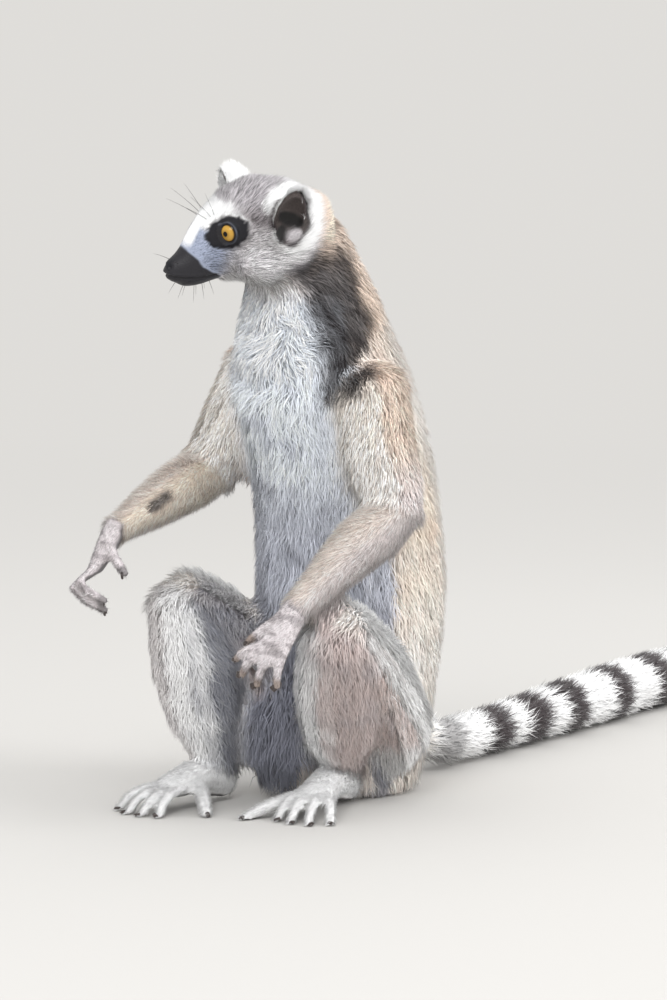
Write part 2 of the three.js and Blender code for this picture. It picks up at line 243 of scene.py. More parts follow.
def head_axes():
    """The middle of the head, and its left, back and up directions, from the eyes and the nose."""
    left_eye, right_eye, nose = (middle_of(name) for name in ("eye_left", "eye_right", "nose"))
    between = (left_eye + right_eye) / 2
    left = unit(left_eye - right_eye)
    down_snout = nose - between
    down_snout = unit(down_snout - left * dot(down_snout, left))
    beside = np.cross(down_snout, left)
    cosine, sine = math.cos(SNOUT_SLOPE), math.sin(SNOUT_SLOPE)
    back = -cosine * down_snout - sine * beside
    up = -sine * down_snout + cosine * beside
    return between + back * EYES_AHEAD * MM - up * EYES_UP * MM, np.array([left, back, up])


HEAD_MIDDLE, HEAD_AXES = head_axes()


def in_head(points):
    """Points in the head's frame, in millimetres: to its left, back and up."""
    return (points - HEAD_MIDDLE) @ HEAD_AXES.T / MM


def from_head(local):
    """Points of the head's frame, in millimetres, back in metres of the whole animal."""
    return HEAD_MIDDLE + np.asarray(local) * MM @ HEAD_AXES


def eye_axis(side):
    """The way an eye looks, in the head's frame; side is 1 for the left and -1 for the right."""
    return unit(np.array([side * math.sin(EYE_OUT), -math.cos(EYE_OUT), EYE_DOWN]))


EYE_RADIUS = float(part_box("eye_left")[1].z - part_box("eye_left")[0].z) / 2 / MM
EYE_MIDDLES = {side: in_head(middle_of(name)) for side, name in ((1, "eye_left"), (-1, "eye_right"))}
EAR_MIDDLES = {side: in_head(middle_of(name)) for side, name in ((1, "ear_left"), (-1, "ear_right"))}


# ---- the coat's measures -------------------------------------------------------------------------

# For each kind of part: depth of the coat over the skin, length and width of a lock in millimetres, locks on
# a square millimetre of skin, and how far the tips draw together.
COAT = {
    "nose": (0.2, 1.0, 0.4, 0.0, 0.0),
    "head": (3.4, 5.6, 0.36, 3.3, 0.08),
    "ear": (1.8, 5.0, 0.45, 2.4, 0.1),
    "neck": (8.5, 15.0, 0.62, 1.6, 0.25),
    "chest": (10.0, 18.0, 0.58, 1.0, 0.3),
    "belly": (10.0, 20.0, 0.7, 0.8, 0.35),
    "tail": (10.0, 19.0, 0.72, 0.85, 0.12),
    "thigh": (8.5, 14.0, 0.6, 1.3, 0.25),
    "shank": (7.0, 15.0, 0.62, 1.25, 0.3),
    "foot": (0.8, 4.8, 0.42, 2.0, 0.12),
    "upper_arm": (7.0, 12.0, 0.58, 1.5, 0.25),
    "forearm": (4.2, 8.0, 0.5, 1.9, 0.15),
    "hand": (0.45, 2.8, 0.36, 2.6, 0.08),
    "eye": (0.3, 1.0, 0.4, 0.0, 0.0),
}
KINDS = list(COAT)
MEASURES = ("depth", "length", "width", "count", "clump")
CHEEK_LONGER = 4.0  # millimetres that the hair of the cheeks is longer than the head's
FRINGE_LONGER = (4.0, 1.5)  # the same for the fringe of the left ear, and of the right


def kind_of(part):
    """A part's name without its side or number."""
    stem, _, ending = part.rpartition("_")
    return stem if ending in {"left", "right"} or ending.isdigit() else part


def kind_numbers(*names):
    """The places of the named kinds in the list of kinds."""
    return [KINDS.index(name) for name in names]


KIND_OF_PART = np.array([KINDS.index(kind_of(name)) for name in PARTS])
IS_KIND = np.eye(len(KINDS))[KIND_OF_PART]  # a row for each part, with a 1 in its kind's column


class Body:
    """The skin's arrays: places, triangles, edges, normals, and each vertex's share in each part and kind."""

    def __init__(self, points, faces, shares):
        self.points, self.faces, self.shares = points, faces, shares
        self.measure()

    def measure(self):
        self.edges = edges_of(self.faces)
        self.normals = normals_of(self.points, self.faces)
        self.kinds = self.shares @ IS_KIND
        self.head = in_head(self.points)

    def share(self, *names):
        """How far each vertex belongs to the named kinds of part."""
        return sum(self.kinds[:, number] for number in kind_numbers(*names))


# ---- skin: one shell from all the solids ---------------------------------------------------------

VOXEL = 1.85  # millimetres: the grid of the first shell
SWELL = 0.4  # millimetres that each solid swells, which closes the gaps between them
DIGIT_SWELL = 0.1  # the same for hands and feet, whose digits stay apart
FACE_BACK = -14.0  # in the head's frame: in front of this the skin is twice as fine


def nearest_part(source):
    """A node group that gives each point the `part` number of the nearest face of the source object."""
    group = bpy.data.node_groups.new("nearest part", "GeometryNodeTree")
    for way in ("INPUT", "OUTPUT"):
        group.interface.new_socket("Geometry", in_out=way, socket_type="NodeSocketGeometry")
    nodes, links = group.nodes, group.links
    start, end = nodes.new("NodeGroupInput"), nodes.new("NodeGroupOutput")
    info = nodes.new("GeometryNodeObjectInfo")
    info.inputs["Object"].default_value = source
    number = nodes.new("GeometryNodeInputNamedAttribute")
    number.data_type = "FLOAT"
    number.inputs["Name"].default_value = "part"
    sample = nodes.new("GeometryNodeSampleNearestSurface")
    sample.data_type = "FLOAT"
    store = nodes.new("GeometryNodeStoreNamedAttribute")
    store.data_type, store.domain = "FLOAT", "POINT"
    store.inputs["Name"].default_value = "part"
    links.new(start.outputs[0], store.inputs["Geometry"])
    links.new(info.outputs["Geometry"], sample.inputs["Mesh"])
    links.new(number.outputs["Attribute"], sample.inputs["Value"])
    links.new(sample.outputs["Value"], store.inputs["Value"])
    links.new(store.outputs["Geometry"], end.inputs[0])
    return group


def shell_of_parts():
    """The solids, each swollen a little, remeshed as one shell: its points, triangles and part shares."""
    points, triangles, owners, count = [], [], [], 0
    for number, name in enumerate(PARTS):
        spots, corners = node_shape(name)
        swell = DIGIT_SWELL if kind_of(name) in ("hand", "foot") else SWELL
        points.append(spots + normals_of(spots, corners) * swell * MM)
        triangles.append(corners + count)
        owners.append(np.full(len(corners), number, np.float32))
        count += len(spots)
    rough = mesh_from("rough", np.concatenate(points), np.concatenate(triangles), smooth=False)
    rough.attributes.new("part", "FLOAT", "FACE").data.foreach_set("value", np.concatenate(owners))
    source = bpy.data.objects.new("rough", rough)
    shell = bpy.data.objects.new("shell", rough.copy())
    for thing in (source, shell):
        bpy.context.scene.collection.objects.link(thing)
    remesh = shell.modifiers.new("one shell", "REMESH")
    remesh.mode = "VOXEL"
    remesh.voxel_size = VOXEL * MM
    named = shell.modifiers.new("nearest part", "NODES")
    named.node_group = nearest_part(source)
    made = bpy.data.meshes.new_from_object(shell.evaluated_get(bpy.context.evaluated_depsgraph_get()))
    points, faces = points_of(made), triangles_of(made)
    number = np.empty(len(points), np.float32)
    made.attributes["part"].data.foreach_get("value", number)
    group = named.node_group
    for thing in (source, shell):
        bpy.data.objects.remove(thing)
    bpy.data.node_groups.remove(group)
    shares = np.eye(len(PARTS))[np.clip(np.rint(number).astype(int), 0, len(PARTS) - 1)]
    return largest_island(points, faces, shares)


def largest_island(points, faces, shares):
    """The connected piece with the most vertices.

    Every vertex has a label, and takes the lowest of its neighbours' labels until none changes."""
    label = np.arange(len(points))
    a, b = edges_of(faces).T
    while True:
        was = label.copy()
        low = np.minimum(label[a], label[b])
        np.minimum.at(label, a, low)
        np.minimum.at(label, b, low)
        label = label[label]
        if (label == was).all():
            break
    kept = label == np.bincount(label).argmax()
    renumbered = np.cumsum(kept) - 1
    return points[kept], renumbered[faces[kept[faces[:, 0]]]], shares[kept]


def refined(table, faces, chosen):
    """The chosen triangles cut into four at the middles of their sides, and each neighbour cut to match.

    The table has a row for each vertex. A new vertex's row is the mean of the rows at its side's two ends."""
    ends = np.stack([faces, np.roll(faces, -1, 1)], 2)
    sides, index = np.unique(np.sort(ends.reshape(-1, 2), 1), axis=0, return_inverse=True)
    index = index.reshape(-1, 3)
    cut = np.zeros(len(sides), bool)
    cut[index[chosen]] = True
    number = np.cumsum(cut) - 1 + len(table)
    marked = cut[index]
    count = marked.sum(1)
    # Turned so that the first side is the one cut side, or the last side is the one left whole.
    turn = np.where(count == 1, marked.argmax(1), np.where(count == 2, (~marked).argmax(1) + 1, 0)) % 3
    order = (turn[:, None] + np.arange(3)) % 3
    corner = np.take_along_axis(faces, order, 1)
    middle = np.take_along_axis(number[index], order, 1)
    patterns = {
        1: ((0, 3, 2), (3, 1, 2)),
        2: ((3, 1, 4), (0, 3, 4), (0, 4, 2)),
        3: ((0, 3, 5), (3, 1, 4), (5, 4, 2), (3, 4, 5)),
    }
    made = [faces[count == 0]]
    for sum_of_cuts, pattern in patterns.items():
        six = np.concatenate([corner, middle], 1)[count == sum_of_cuts]
        made += [six[:, list(three)] for three in pattern]
    rows = (table[sides[cut, 0]] + table[sides[cut, 1]]) / 2
    return np.concatenate([table, rows]), np.concatenate(made)


STEP_BACK = 1.03  # how much longer the step away is


def without_ripples(points, edges, rounds, share):
    """Smoothing that keeps the volume: a step to the neighbours' mean, then a slightly longer step away."""
    for _ in range(rounds):
        points = relaxed(points, edges, 1, share)
        points = relaxed(points, edges, 1, -STEP_BACK * share)
    return points


def eye_angle(local, side):
    """Each point's distance from an eye's middle in millimetres, and its angle from the way the eye looks."""
    away = local - EYE_MIDDLES[side]
    radius = np.linalg.norm(away, axis=1)
    return radius, np.degrees(np.arccos(np.clip(away @ eye_axis(side) / np.maximum(radius, 1e-6), -1, 1)))


EYE_OPENING = 42.0  # degrees from the eye's axis to the edge of the lids
LID_RISE, LID_SUNK = 1.0, 1.6  # millimetres that the lids stand over the eyeball, and the opening under it


def with_lids(local):
    """The skin round each eye: sunk behind the eyeball in the opening, then a lid that stands over it.

    Each point keeps its direction from the eye's middle, and its distance eases to the lid's at its angle."""
    for side in (1, -1):
        radius, angle = eye_angle(local, side)
        crease = 0.35 * bump(angle, 66, 5)
        lid = EYE_RADIUS - LID_SUNK
        lid = lid + (LID_SUNK + LID_RISE) * ease(EYE_OPENING - 1.5, EYE_OPENING + 4.5, angle)
        lid = lid + 0.25 * bump(angle, EYE_OPENING + 7, 4) - crease
        held = (1 - ease(54, 84, angle)) * ease(EYE_RADIUS + 8, EYE_RADIUS + 2.5, radius)
        away = (local - EYE_MIDDLES[side]) / np.maximum(radius, 1e-6)[:, None]
        local = local + away * ((lid - radius) * held)[:, None]
    return local


def mouth_line(local):
    """Each point's height over the line of the mouth.

    The line is a parabola along the muzzle, lowest in the middle, and it rises a little to each side."""
    return local[:, 2] + 28.2 - 0.006 * (local[:, 1] + 52) ** 2 + 0.002 * local[:, 0] ** 2


NOSTRIL, NOSTRIL_SIZE = (3.7, -60.5, -22.3), (1.6, 3.0, 1.5)  # in the head's frame: place and half sizes


def with_mouth(local, normals):
    """A thin groove for the mouth, two pits for the nostrils and the cleft of the upper lip under the nose.

    Each is a bell about its line or point, taken off along the normals."""
    across, back = np.abs(local[:, 0]), local[:, 1]
    front = 1 - ease(-31, -27, back)
    groove = 1.1 * bump(mouth_line(local), 0, 0.75) * front
    lips = -0.35 * bump(mouth_line(local), 1.7, 1.1) * front
    pit = np.linalg.norm((np.stack([across, back, local[:, 2]], 1) - NOSTRIL) / NOSTRIL_SIZE, axis=1)
    slit = 1.6 * np.exp(-(pit**2)) * (back < -54)
    cleft = 0.5 * bump(local[:, 0], 0, 0.6) * bump(local[:, 2], -26.5, 2.2) * (back < -50)
    return local - normals * (groove + lips + slit + cleft)[:, None]


# ---- markings ------------------------------------------------------------------------------------


def along(values, table):
    """The amounts that the table gives for the places in it, and straight between them."""
    return np.interp(values, list(table), list(table.values()))


# Round the ear, by the turn in degrees from straight back: how far its opening reaches, and the width of the
# white fringe beyond it, in millimetres.
EAR_EDGE = {-180: 13.5, -142: 12.4, -113: 15.5, -72: 17, -45: 13.8, -14: 13.8, 18: 11.8, 63: 14.8}
EAR_EDGE |= {80: 18.5, 100: 18, 122: 15.5, 148: 14.5, 180: 13.5}
EAR_FRINGE = {-180: 0, -142: 0, -100: 2, -60: 6, 0: 8, 40: 8, 70: 6, 100: 6, 137: 7, 158: 4, 172: 0, 180: 0}
EAR_LEAN = (0.53, -0.32)  # how far what stands out from the head is drawn back, and up, for each millimetre


def round_ear(local):
    """Where each point of the head lies about its ear.

    It gives the place from the ear's middle (outwards, back and up), the reach and the turn in degrees about
    the middle of the ear's opening, and how far the opening reaches at that turn. Reach and turn are those
    seen from ahead and above of the side, so what stands out is drawn back."""
    side = np.where(local[:, 0] > 0, 1.0, -1.0)
    middle = np.where(side[:, None] > 0, EAR_MIDDLES[1], EAR_MIDDLES[-1])
    place = (local - middle) * np.stack([side, np.ones(len(side)), np.ones(len(side))], 1)
    out = np.clip(place[:, 0], -30, 20)
    place = np.stack([place[:, 0], place[:, 1] + EAR_LEAN[0] * out, place[:, 2] + EAR_LEAN[1] * out], 1)
    back, up = place[:, 1] + 1, place[:, 2] + 1
    turn = np.degrees(np.arctan2(up, back))
    return place, np.hypot(back, up), turn, along(turn, EAR_EDGE)


def ear_marks(body):
    """The inner side of each ear, its black hollow (dark bare skin with painted shade), its pale lobe low
    behind and its dark rim, as shares.

    The hollow is a slanting bar with a foot at its front end, each an ellipse with a soft edge."""
    place, reach, _, edge = round_ear(body.head)
    left = body.head[:, 0] > 0
    normals = body.normals @ HEAD_AXES.T
    outward = normals[:, 0] * np.where(left, 1, -1)
    turned = np.radians(np.where(left, 25, 50))
    facing = outward * np.cos(turned) - normals[:, 1] * np.sin(turned)
    inside = ease(edge + 0.6, edge - 0.6, reach) * ease(-0.1, 0.15, facing) * (place[:, 0] > -13)
    inside = inside * np.where(left, 1.0, ease(0.35, 0.65, outward) * ease(8, 4, place[:, 0]))
    back, up = place[:, 1], place[:, 2]
    run = 0.95 * (back + 0.8) - 0.31 * (up + 2.0)
    across = 0.31 * (back + 0.8) + 0.95 * (up + 2.0)
    bar = ease(1.15, 0.8, np.hypot(run / 9.5, across / 4.6))
    foot = ease(1.2, 0.8, np.hypot((back + 6.0) / 3.8, (up + 10.0) / 5.5))
    lobe = ease(1.2, 0.85, np.hypot((back - 3.0) / 5.5, (up + 12.0) / 5.0))
    marks = {"inside": 1.0, "hollow": np.maximum(bar, foot) * (1 - lobe), "lobe": lobe * 0.62}
    marks["rim"] = ease(2.8, 1.4, edge - reach)
    return {name: share * inside for name, share in marks.items()}


MUZZLE_BACK = {-27: -28, -24.5: -34, -21: -41.5, -17: -44.5, -12.5: -50, -7: -53, -3: -57}  # by the height


def face_marks(local):
    """How far each point of the head lies in each of its markings, as a dictionary of shares.

    The eye's patch is an ellipse on the cheek's slope. The other edges are lines, each with a ragged wave."""
    across, back, up = np.abs(local[:, 0]), local[:, 1], local[:, 2]
    ragged = wobble(local, 9.0) * 1.2
    beside = (across - 18) * 0.605 + (back + 31) * 0.796
    patch = np.sqrt((beside / 12.6) ** 2 + ((up - 1.0 - 0.12 * beside) / 10.0) ** 2)
    patch = patch + ragged * 0.05 + 0.07 * wobble(local, 4.0, 1.0)
    patch = (1 - ease(0.9, 1.12, patch)) * (back < -10)
    muzzle = 1 - ease(-1.0, 1.2, back - along(up, MUZZLE_BACK) + ragged * 0.3)
    bridge = ease(7.5, 4.5, across) * ease(-40, -44, back)
    brow_edge = -29.5 + 0.02 * across**2 - 0.12 * (up - 19)
    brow = (1 - ease(-1.5, 1.2, back - brow_edge + ragged)) * ease(-5, 1, up - 5.5 + (back + 45) * 0.55)
    brow = brow * (1 - ease(20, 26, across - 0.25 * (up - 12)))
    _, reach, turn, edge = round_ear(local)
    width = along(turn, EAR_FRINGE)
    return {
        "patch": patch,
        "muzzle": muzzle * (1 - patch),
        "brow": np.maximum(brow, bridge * ease(-12, -6, up)) * (1 - muzzle) * (1 - patch),
        "snout": ease(-20, -34, back) * ease(5, 1, up + 0.12 * across),
        "fringe": ease(edge + width + 2, edge + width - 1.5, reach + ragged) * (width > 0.5),
        "cheek": ease(-4, -14, up) * ease(-27, -12, back),
        "throat": ease(-22, -32, up) * ease(-30, -22, back),
        "crown": ease(8, 22, up) * (1 - brow),
    }


# The dark collar, by the height over the floor: its front and back edges along Y, and its inner edge from the
# middle of the animal, in millimetres.
COLLAR_BEFORE = {226: -73, 240: -74, 256: -76, 266: -77, 276: -77, 290: -76, 306: -76, 330: -76, 342: -70}
COLLAR_BEHIND = {226: -68, 240: -64, 256: -55, 266: -46, 276: -38, 290: -31, 306: -34, 330: -38, 342: -44}
COLLAR_INNER = {238: 32, 284: 29, 302: 21, 326: 15}
HEAD_TURN_SHIFT = 13.0  # millimetres that the head's turn draws the right half forwards


def collar(points):
    """How far a point lies in the dark band down each side of the neck, from the cheek to the shoulder."""
    across, back, up = points[:, 0] / MM + 2, points[:, 1] / MM, points[:, 2] / MM
    ragged = 3.0 * wobble(points, 0.014, 2.0) + 2.0 * wobble(points, 0.006, 4.0)
    back = np.where(across < 0, back + HEAD_TURN_SHIFT, back) + ragged
    inside = ease(-3.5, 3.5, back - along(up, COLLAR_BEFORE)) * ease(5, -5, back - along(up, COLLAR_BEHIND))
    inside = inside * np.where(across < 0, ease(286, 300, up), 1)
    inner = along(up, COLLAR_INNER)
    return inside * ease(inner - 4, inner + 4, np.abs(across)) * ease(222, 234, up) * (1 - ease(330, 344, up))


# Darker spots in the fur and the skin: marks on the right side of the neck, and painted shade where the
# breast's hair parts and in the hollow between the breast and the left arm. Middle and radius in millimetres,
# and how dark.
DARK_SPOTS_AND_SHADE = {
    # painted shade in the parting where the breast's hair turns outwards
    (20, -84, 278): (8, 0.75),
    # marks on the right side of the neck
    (-1, -85, 309): (6, 0.6),
    (-12, -84, 300): (6, 0.7),
    (-16, -84, 292): (7, 0.6),
    (-19, -86, 277): (8, 0.6),
    # these two: painted shade in the hollow between the breast and the left arm
    (40, -72, 222): (11, 0.8),
    (36, -74, 240): (7, 0.6),
}


def dark_spots_and_shade(points):
    """How far a point lies in the darker spots, the marks and the painted shade, each fading from its middle
    as a bell.
    """
    share = np.zeros(len(points))
    for middle, (radius, dark) in DARK_SPOTS_AND_SHADE.items():
        away = np.linalg.norm((points / MM - middle) / [1.0, 1.0, 1.4], axis=1) / radius
        share = np.maximum(share, dark * np.exp(-(away**2)))
    return share


RINGS = (91, 150, 198, 248, 311, 374, 424, 468, 508, 545)  # middles of the tail's dark rings along Y
RING_WIDTH, TAIL_TIP = 29.0, 572.0
RING_SHRINK = 0.025  # how much narrower each ring is than the one before it, over the first one's width
FAINT = 0.6  # how dark the first ring is


def rings(points):
    """1 in the tail's dark rings and 0 between them, and 1 on its tip.

    Each ring is a band about its middle along Y, with a wavy edge. The first is faint."""
    back = points[:, 1] / MM + 2.5 * wobble(points, 0.02, 1.0)
    dark = np.zeros(len(points))
    for number, middle in enumerate(RINGS):
        half = RING_WIDTH / 2 * (1 - RING_SHRINK * number)
        full = FAINT if number == 0 else 1.0
        dark = np.maximum(dark, full * (1 - ease(half - 2.5, half + 2.5, np.abs(back - middle))))
    return np.maximum(dark, ease(TAIL_TIP - 3, TAIL_TIP + 3, back))


# Where the gland's strip starts and ends: shares of the forearm's box along Y and Z, from the elbow's top.
GLAND = ((0.64, 0.50), (0.76, 0.61))


def gland(points):
    """The dark bare strip on the inner side of each forearm, a stripe of about 27 by 7 millimetres."""
    share = np.zeros(len(points))
    for side in ("left", "right"):
        low, high = (np.array(corner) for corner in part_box(f"forearm_{side}"))
        inner = high[0] - 4 * MM if side == "right" else low[0] + 4 * MM
        start, end = (np.array([inner, *(high[1:] + (low - high)[1:] * np.array(part))]) for part in GLAND)
        way = (end - start) / np.linalg.norm(end - start)
        run = np.clip((points - start) @ way, 0, np.linalg.norm(end - start))
        away = np.linalg.norm((points - start - run[:, None] * way) / [4.0, 1, 1], axis=1) / MM
        share = np.maximum(share, 1 - ease(1.8, 5.0, away + 0.8 * wobble(points, 0.005)))
    return share


AT_JOINT = 4.0  # millimetres: corners this much further than the nearest one lie at the joint
WALK_ROUNDS = 80  # steps from corner to corner, enough to reach the end of the longest digit
NEAR_ROUNDS = 5  # steps within which a tip is the furthest corner
TIP_REACH = 0.38  # a digit's tip lies further than this share of the furthest tip's way


def digit_tips(name):
    """The ends of a hand's or foot's digits.

    They are the corners that lie further along its surface from its joint than all those near them."""
    spots, faces = node_shape(name)
    edges = edges_of(faces)
    a, b = np.concatenate([edges, edges[:, ::-1]]).T
    step = np.linalg.norm(spots[a] - spots[b], axis=1)
    from_joint = np.linalg.norm(spots - JOINTS[name], axis=1)
    reach = np.where(from_joint < from_joint.min() + AT_JOINT * MM, 0.0, 1.0)
    for _ in range(WALK_ROUNDS):
        np.minimum.at(reach, a, reach[b] + step)
    highest = reach.copy()
    for _ in range(NEAR_ROUNDS):
        np.maximum.at(highest, a, highest[b])
    return spots[(reach >= highest - 1e-9) & (reach > TIP_REACH * reach.max())]


def joint_of(end, limb):
    """Where a hand or foot meets its limb: the middle of the limb's corners nearest to the hand or foot."""
    spots, _ = node_shape(end)
    others, _ = node_shape(limb)
    away = np.linalg.norm(others[:, None] - spots[None], axis=2).min(1)
    return others[away < away.min() + 2 * MM].mean(0)


JOINTS = {f"hand_{side}": joint_of(f"hand_{side}", f"forearm_{side}") for side in ("left", "right")}
JOINTS |= {f"foot_{side}": joint_of(f"foot_{side}", f"shank_{side}") for side in ("left", "right")}
TIPS = {name: digit_tips(name) for name in JOINTS}
BACKS = {"hand_left": (0.4, -0.69, 0.59), "hand_right": (-0.655, -0.573, 0.447)}  # away from each palm
BACKS |= {name: (0.0, 0.0, 1.0) for name in pair("foot")}


TIP_FADE = (9, 6)  # millimetres from a digit's tip where its own colour ends, and where it is full


def digit_tips_near(points):
    """1 about the end of each finger and toe, fading to 0 with the distance from it."""
    ends = np.concatenate(list(TIPS.values()))
    away = np.ones(len(points))
    for end in ends:
        away = np.minimum(away, np.linalg.norm(points - end, axis=1))
    return ease(*TIP_FADE, away / MM)


def palm_side(body):
    """1 on the palm's side of each hand."""
    left = body.points[:, 0] > 0
    back = np.where(left[:, None], BACKS["hand_left"], BACKS["hand_right"])
    return ease(0.5, 0.85, -dot(body.normals, back)) * body.share("hand")


# Colours of the fur at full light: tan back and shoulders, grey limbs, pale underside, dark marks.
FUR = {
    "white": linear(254, 254, 254),
    "cream": linear(252, 246, 238),
    "pale_grey": linear(222, 218, 222),
    "speckle": linear(214, 210, 212),
    "crown": linear(178, 174, 177),
    "temple": linear(138, 132, 134),
    "throat": linear(255, 247, 245),
    "nape": linear(226, 206, 190),
    "tan": linear(246, 226, 210),
    "golden": linear(254, 236, 216),
    "brown": linear(184, 150, 128),
    "back": linear(254, 250, 246),
    "chest": linear(240, 246, 255),
    "blue_grey": linear(216, 220, 232),
    "slate": linear(132, 134, 146),
    "lap": linear(140, 142, 152),
    "limb": linear(232, 224, 226),
    "thigh": linear(192, 174, 170),
    "black": linear(34, 33, 38),
    "ring": linear(62, 54, 56),
    "collar": linear(38, 33, 35),
    "face_blue": linear(160, 168, 188),
    "bare": linear(21, 22, 29),
    # the lids' pale rim: a painted highlight, where wet skin would catch the light
    "lid": linear(92, 96, 108),
    "sole": linear(80, 77, 78),
    "dusty": linear(140, 122, 108),
    "ear_hair": linear(82, 74, 72),
    # the ear's hollow: dark bare skin with the hollow's shade painted in
    "pit": linear(16, 14, 15),
}


class Ground:
    """What the fur's colours follow: each vertex's place in millimetres, the way it faces, and mottling."""

    def __init__(self, body):
        self.body = body
        self.x, self.y, self.z = (body.points / MM).T
        self.back, self.up = body.normals[:, 1], body.normals[:, 2]
        self.outward = np.sign(self.x) * body.normals[:, 0]
        self.inner = ease(0.35, 0.8, -self.outward)  # 1 on what faces the middle of the animal
        self.mottle = wobble(body.points, 0.022) * 0.5 + 0.5
        self.spots = wobble(body.points, 0.009, 5.0) * 0.5 + 0.5
        self.broad = wobble(body.points, 0.06, 3.0) * 0.5 + 0.5

    def plain(self, name):
        """One fur colour at every vertex."""
        return np.tile(FUR[name], (len(self.x), 1))


def painted(colour, *coats):
    """The colour with others laid over it in turn, each a fur colour's name and how far it covers."""
    for name, share in coats:
        colour = mix(colour, FUR[name], share)
    return colour


def head_fur(on, marks, ear_mark):
    """Speckled grey with darker temples and crown, the face's markings over it, and the ear's inside."""
    back, up = on.body.head[:, 1], on.body.head[:, 2]
    head = painted(
        on.plain("speckle"),
        ("temple", ease(2, 10, up) * ease(-26, -16, back)),
        ("crown", marks["crown"]),
        ("face_blue", marks["snout"]),
        ("pale_grey", marks["cheek"] * 0.75),
        ("throat", marks["throat"]),
        ("white", marks["fringe"]),
        ("white", marks["brow"]),
        ("black", marks["patch"]),
        ("black", marks["muzzle"]),
        ("nape", ease(22, 34, back) * (1 - marks["fringe"])),
    )
    return mix(head, inner_ear_fur(on, ear_mark), ear_mark["inside"])


def inner_ear_fur(on, ear_mark):
    """Dark thin hair, with the pale lobe, the dark rim and the black hollow, its bare skin darkened by painted
    shade.
    """
    coats = (("pale_grey", "lobe"), ("ring", "rim"), ("pit", "hollow"))
    return painted(on.plain("ear_hair"), *((name, ear_mark[mark]) for name, mark in coats))


def neck_fur(on):
    """The nape's grey-brown behind, and the breast's pale blue in front, paler at the throat."""
    front = ease(0.05, 0.55, -on.back + 0.15 * on.up)
    throat = ease(-46, -34, on.body.head[:, 2]) * front
    return painted(on.plain("nape"), ("chest", front), ("throat", throat))


def trunk_fur(on):
    """Grey-brown behind, golden along the flanks, and a pale underside that is slate between the legs."""
    behind, upper = ease(0.52, 0.78, on.back), ease(80, 130, on.z)
    flank = np.abs(on.body.normals[:, 0]) * ease(250, 200, on.z)
    trunk = painted(
        on.plain("back"),
        ("nape", behind * (0.7 + 0.3 * ease(220, 300, on.z))),
        ("brown", behind * (0.1 + 0.25 * ease(0.5, 0.95, on.mottle))),
        ("tan", bump(on.back, 0.1, 0.55) * (0.3 + 0.4 * on.broad)),
        ("golden", flank * bump(on.back, 0.0, 0.5) * (0.3 + 0.4 * on.broad) * upper),
        ("brown", bump(on.back, 0.0, 0.45) * ease(0.66, 0.95, on.mottle) * 0.3 * upper),
    )
    underside = painted(
        on.plain("slate"),
        ("blue_grey", ease(75, 140, on.z)),
        ("chest", ease(150, 215, on.z)),
        ("slate", ease(0.68, 1.0, on.mottle) * (0.35 + 0.3 * ease(240, 190, on.z))),
    )
    within = np.maximum(ease(58, 46, np.abs(on.x)), ease(110, 90, on.z))
    return mix(trunk, underside, ease(0.3, 0.6, -on.back) * within)


def upper_arm_fur(on):
    """Tan over the shoulder, greyer towards the elbow, and pale on the inside and front."""
    shoulder = painted(on.plain("tan"), ("brown", 0.25))
    return painted(
        shoulder,
        ("limb", ease(225, 185, on.z) * 0.8),
        ("brown", ease(0.62, 0.95, on.mottle) * 0.45 * ease(180, 215, on.z)),
        ("cream", np.maximum(on.inner, ease(0.4, 0.8, -on.back)) * 0.8),
    )


def forearm_fur(on):
    """Grey, tan on top and golden on the inside, with the bare gland."""
    return painted(
        on.plain("limb"),
        ("tan", 0.2 + 0.5 * ease(0.0, 0.8, on.up)),
        ("golden", on.inner * 0.8),
        ("bare", gland(on.body.points) * 0.9),
    )


def thigh_fur(on):
    """Grey-brown and mottled outside, cream on top, white behind and below, and dark on the inside."""
    return painted(
        on.plain("thigh"),
        ("limb", ease(0.55, 0.95, on.mottle) * 0.6),
        ("brown", bump(on.z, 62, 30) * ease(0.2, 0.7, on.outward) * 0.22),
        ("cream", ease(0.2, 0.7, on.up) * 0.7),
        ("white", np.maximum(ease(-0.15, 0.45, on.back), ease(45, 25, on.z))),
        ("lap", on.inner * (0.6 + 0.4 * on.mottle)),
    )


def shank_fur(on):
    """White in front, grey-brown outside, most on the left leg, and dark on the inside."""
    outside = ease(-0.3, 0.5, on.outward + 0.3 * (on.mottle - 0.5)) * np.where(on.x > 0, 0.95, 0.4)
    return painted(
        on.plain("white"),
        ("thigh", outside),
        ("slate", ease(0.6, 0.95, on.mottle) * 0.25 * (1 - on.inner * 0.5)),
        ("lap", ease(0.2, 0.95, -on.outward + 0.35 * on.back + 0.2 * (on.mottle - 0.5))),
    )


def foot_fur(on):
    """White with greyer knuckles, over dark soles."""
    return painted(
        on.plain("white"), ("crown", ease(0.6, 0.95, on.spots) * 0.25), ("sole", ease(0.6, 0.9, -on.up))
    )


def hand_fur(on):
    """Grey with darker knuckles and dark palms; the left hand's finger ends are dusty, the right's dark."""
    knuckles, left = ease(0.6, 0.95, on.spots), (on.x > 0).astype(float)
    ends = painted(on.plain("sole"), ("dusty", left))
    hand = painted(on.plain("limb"), ("temple", 0.15 + 0.5 * knuckles))
    hand = mix(hand, ends, digit_tips_near(on.body.points) * 0.75)
    return painted(hand, ("sole", palm_side(on.body) * 0.9))


def tail_fur(on):
    """White with dark rings, and cream at the root."""
    ringed = painted(on.plain("white"), ("ring", rings(on.body.points)))
    return mix(on.plain("cream"), ringed, ease(60, 76, on.y))


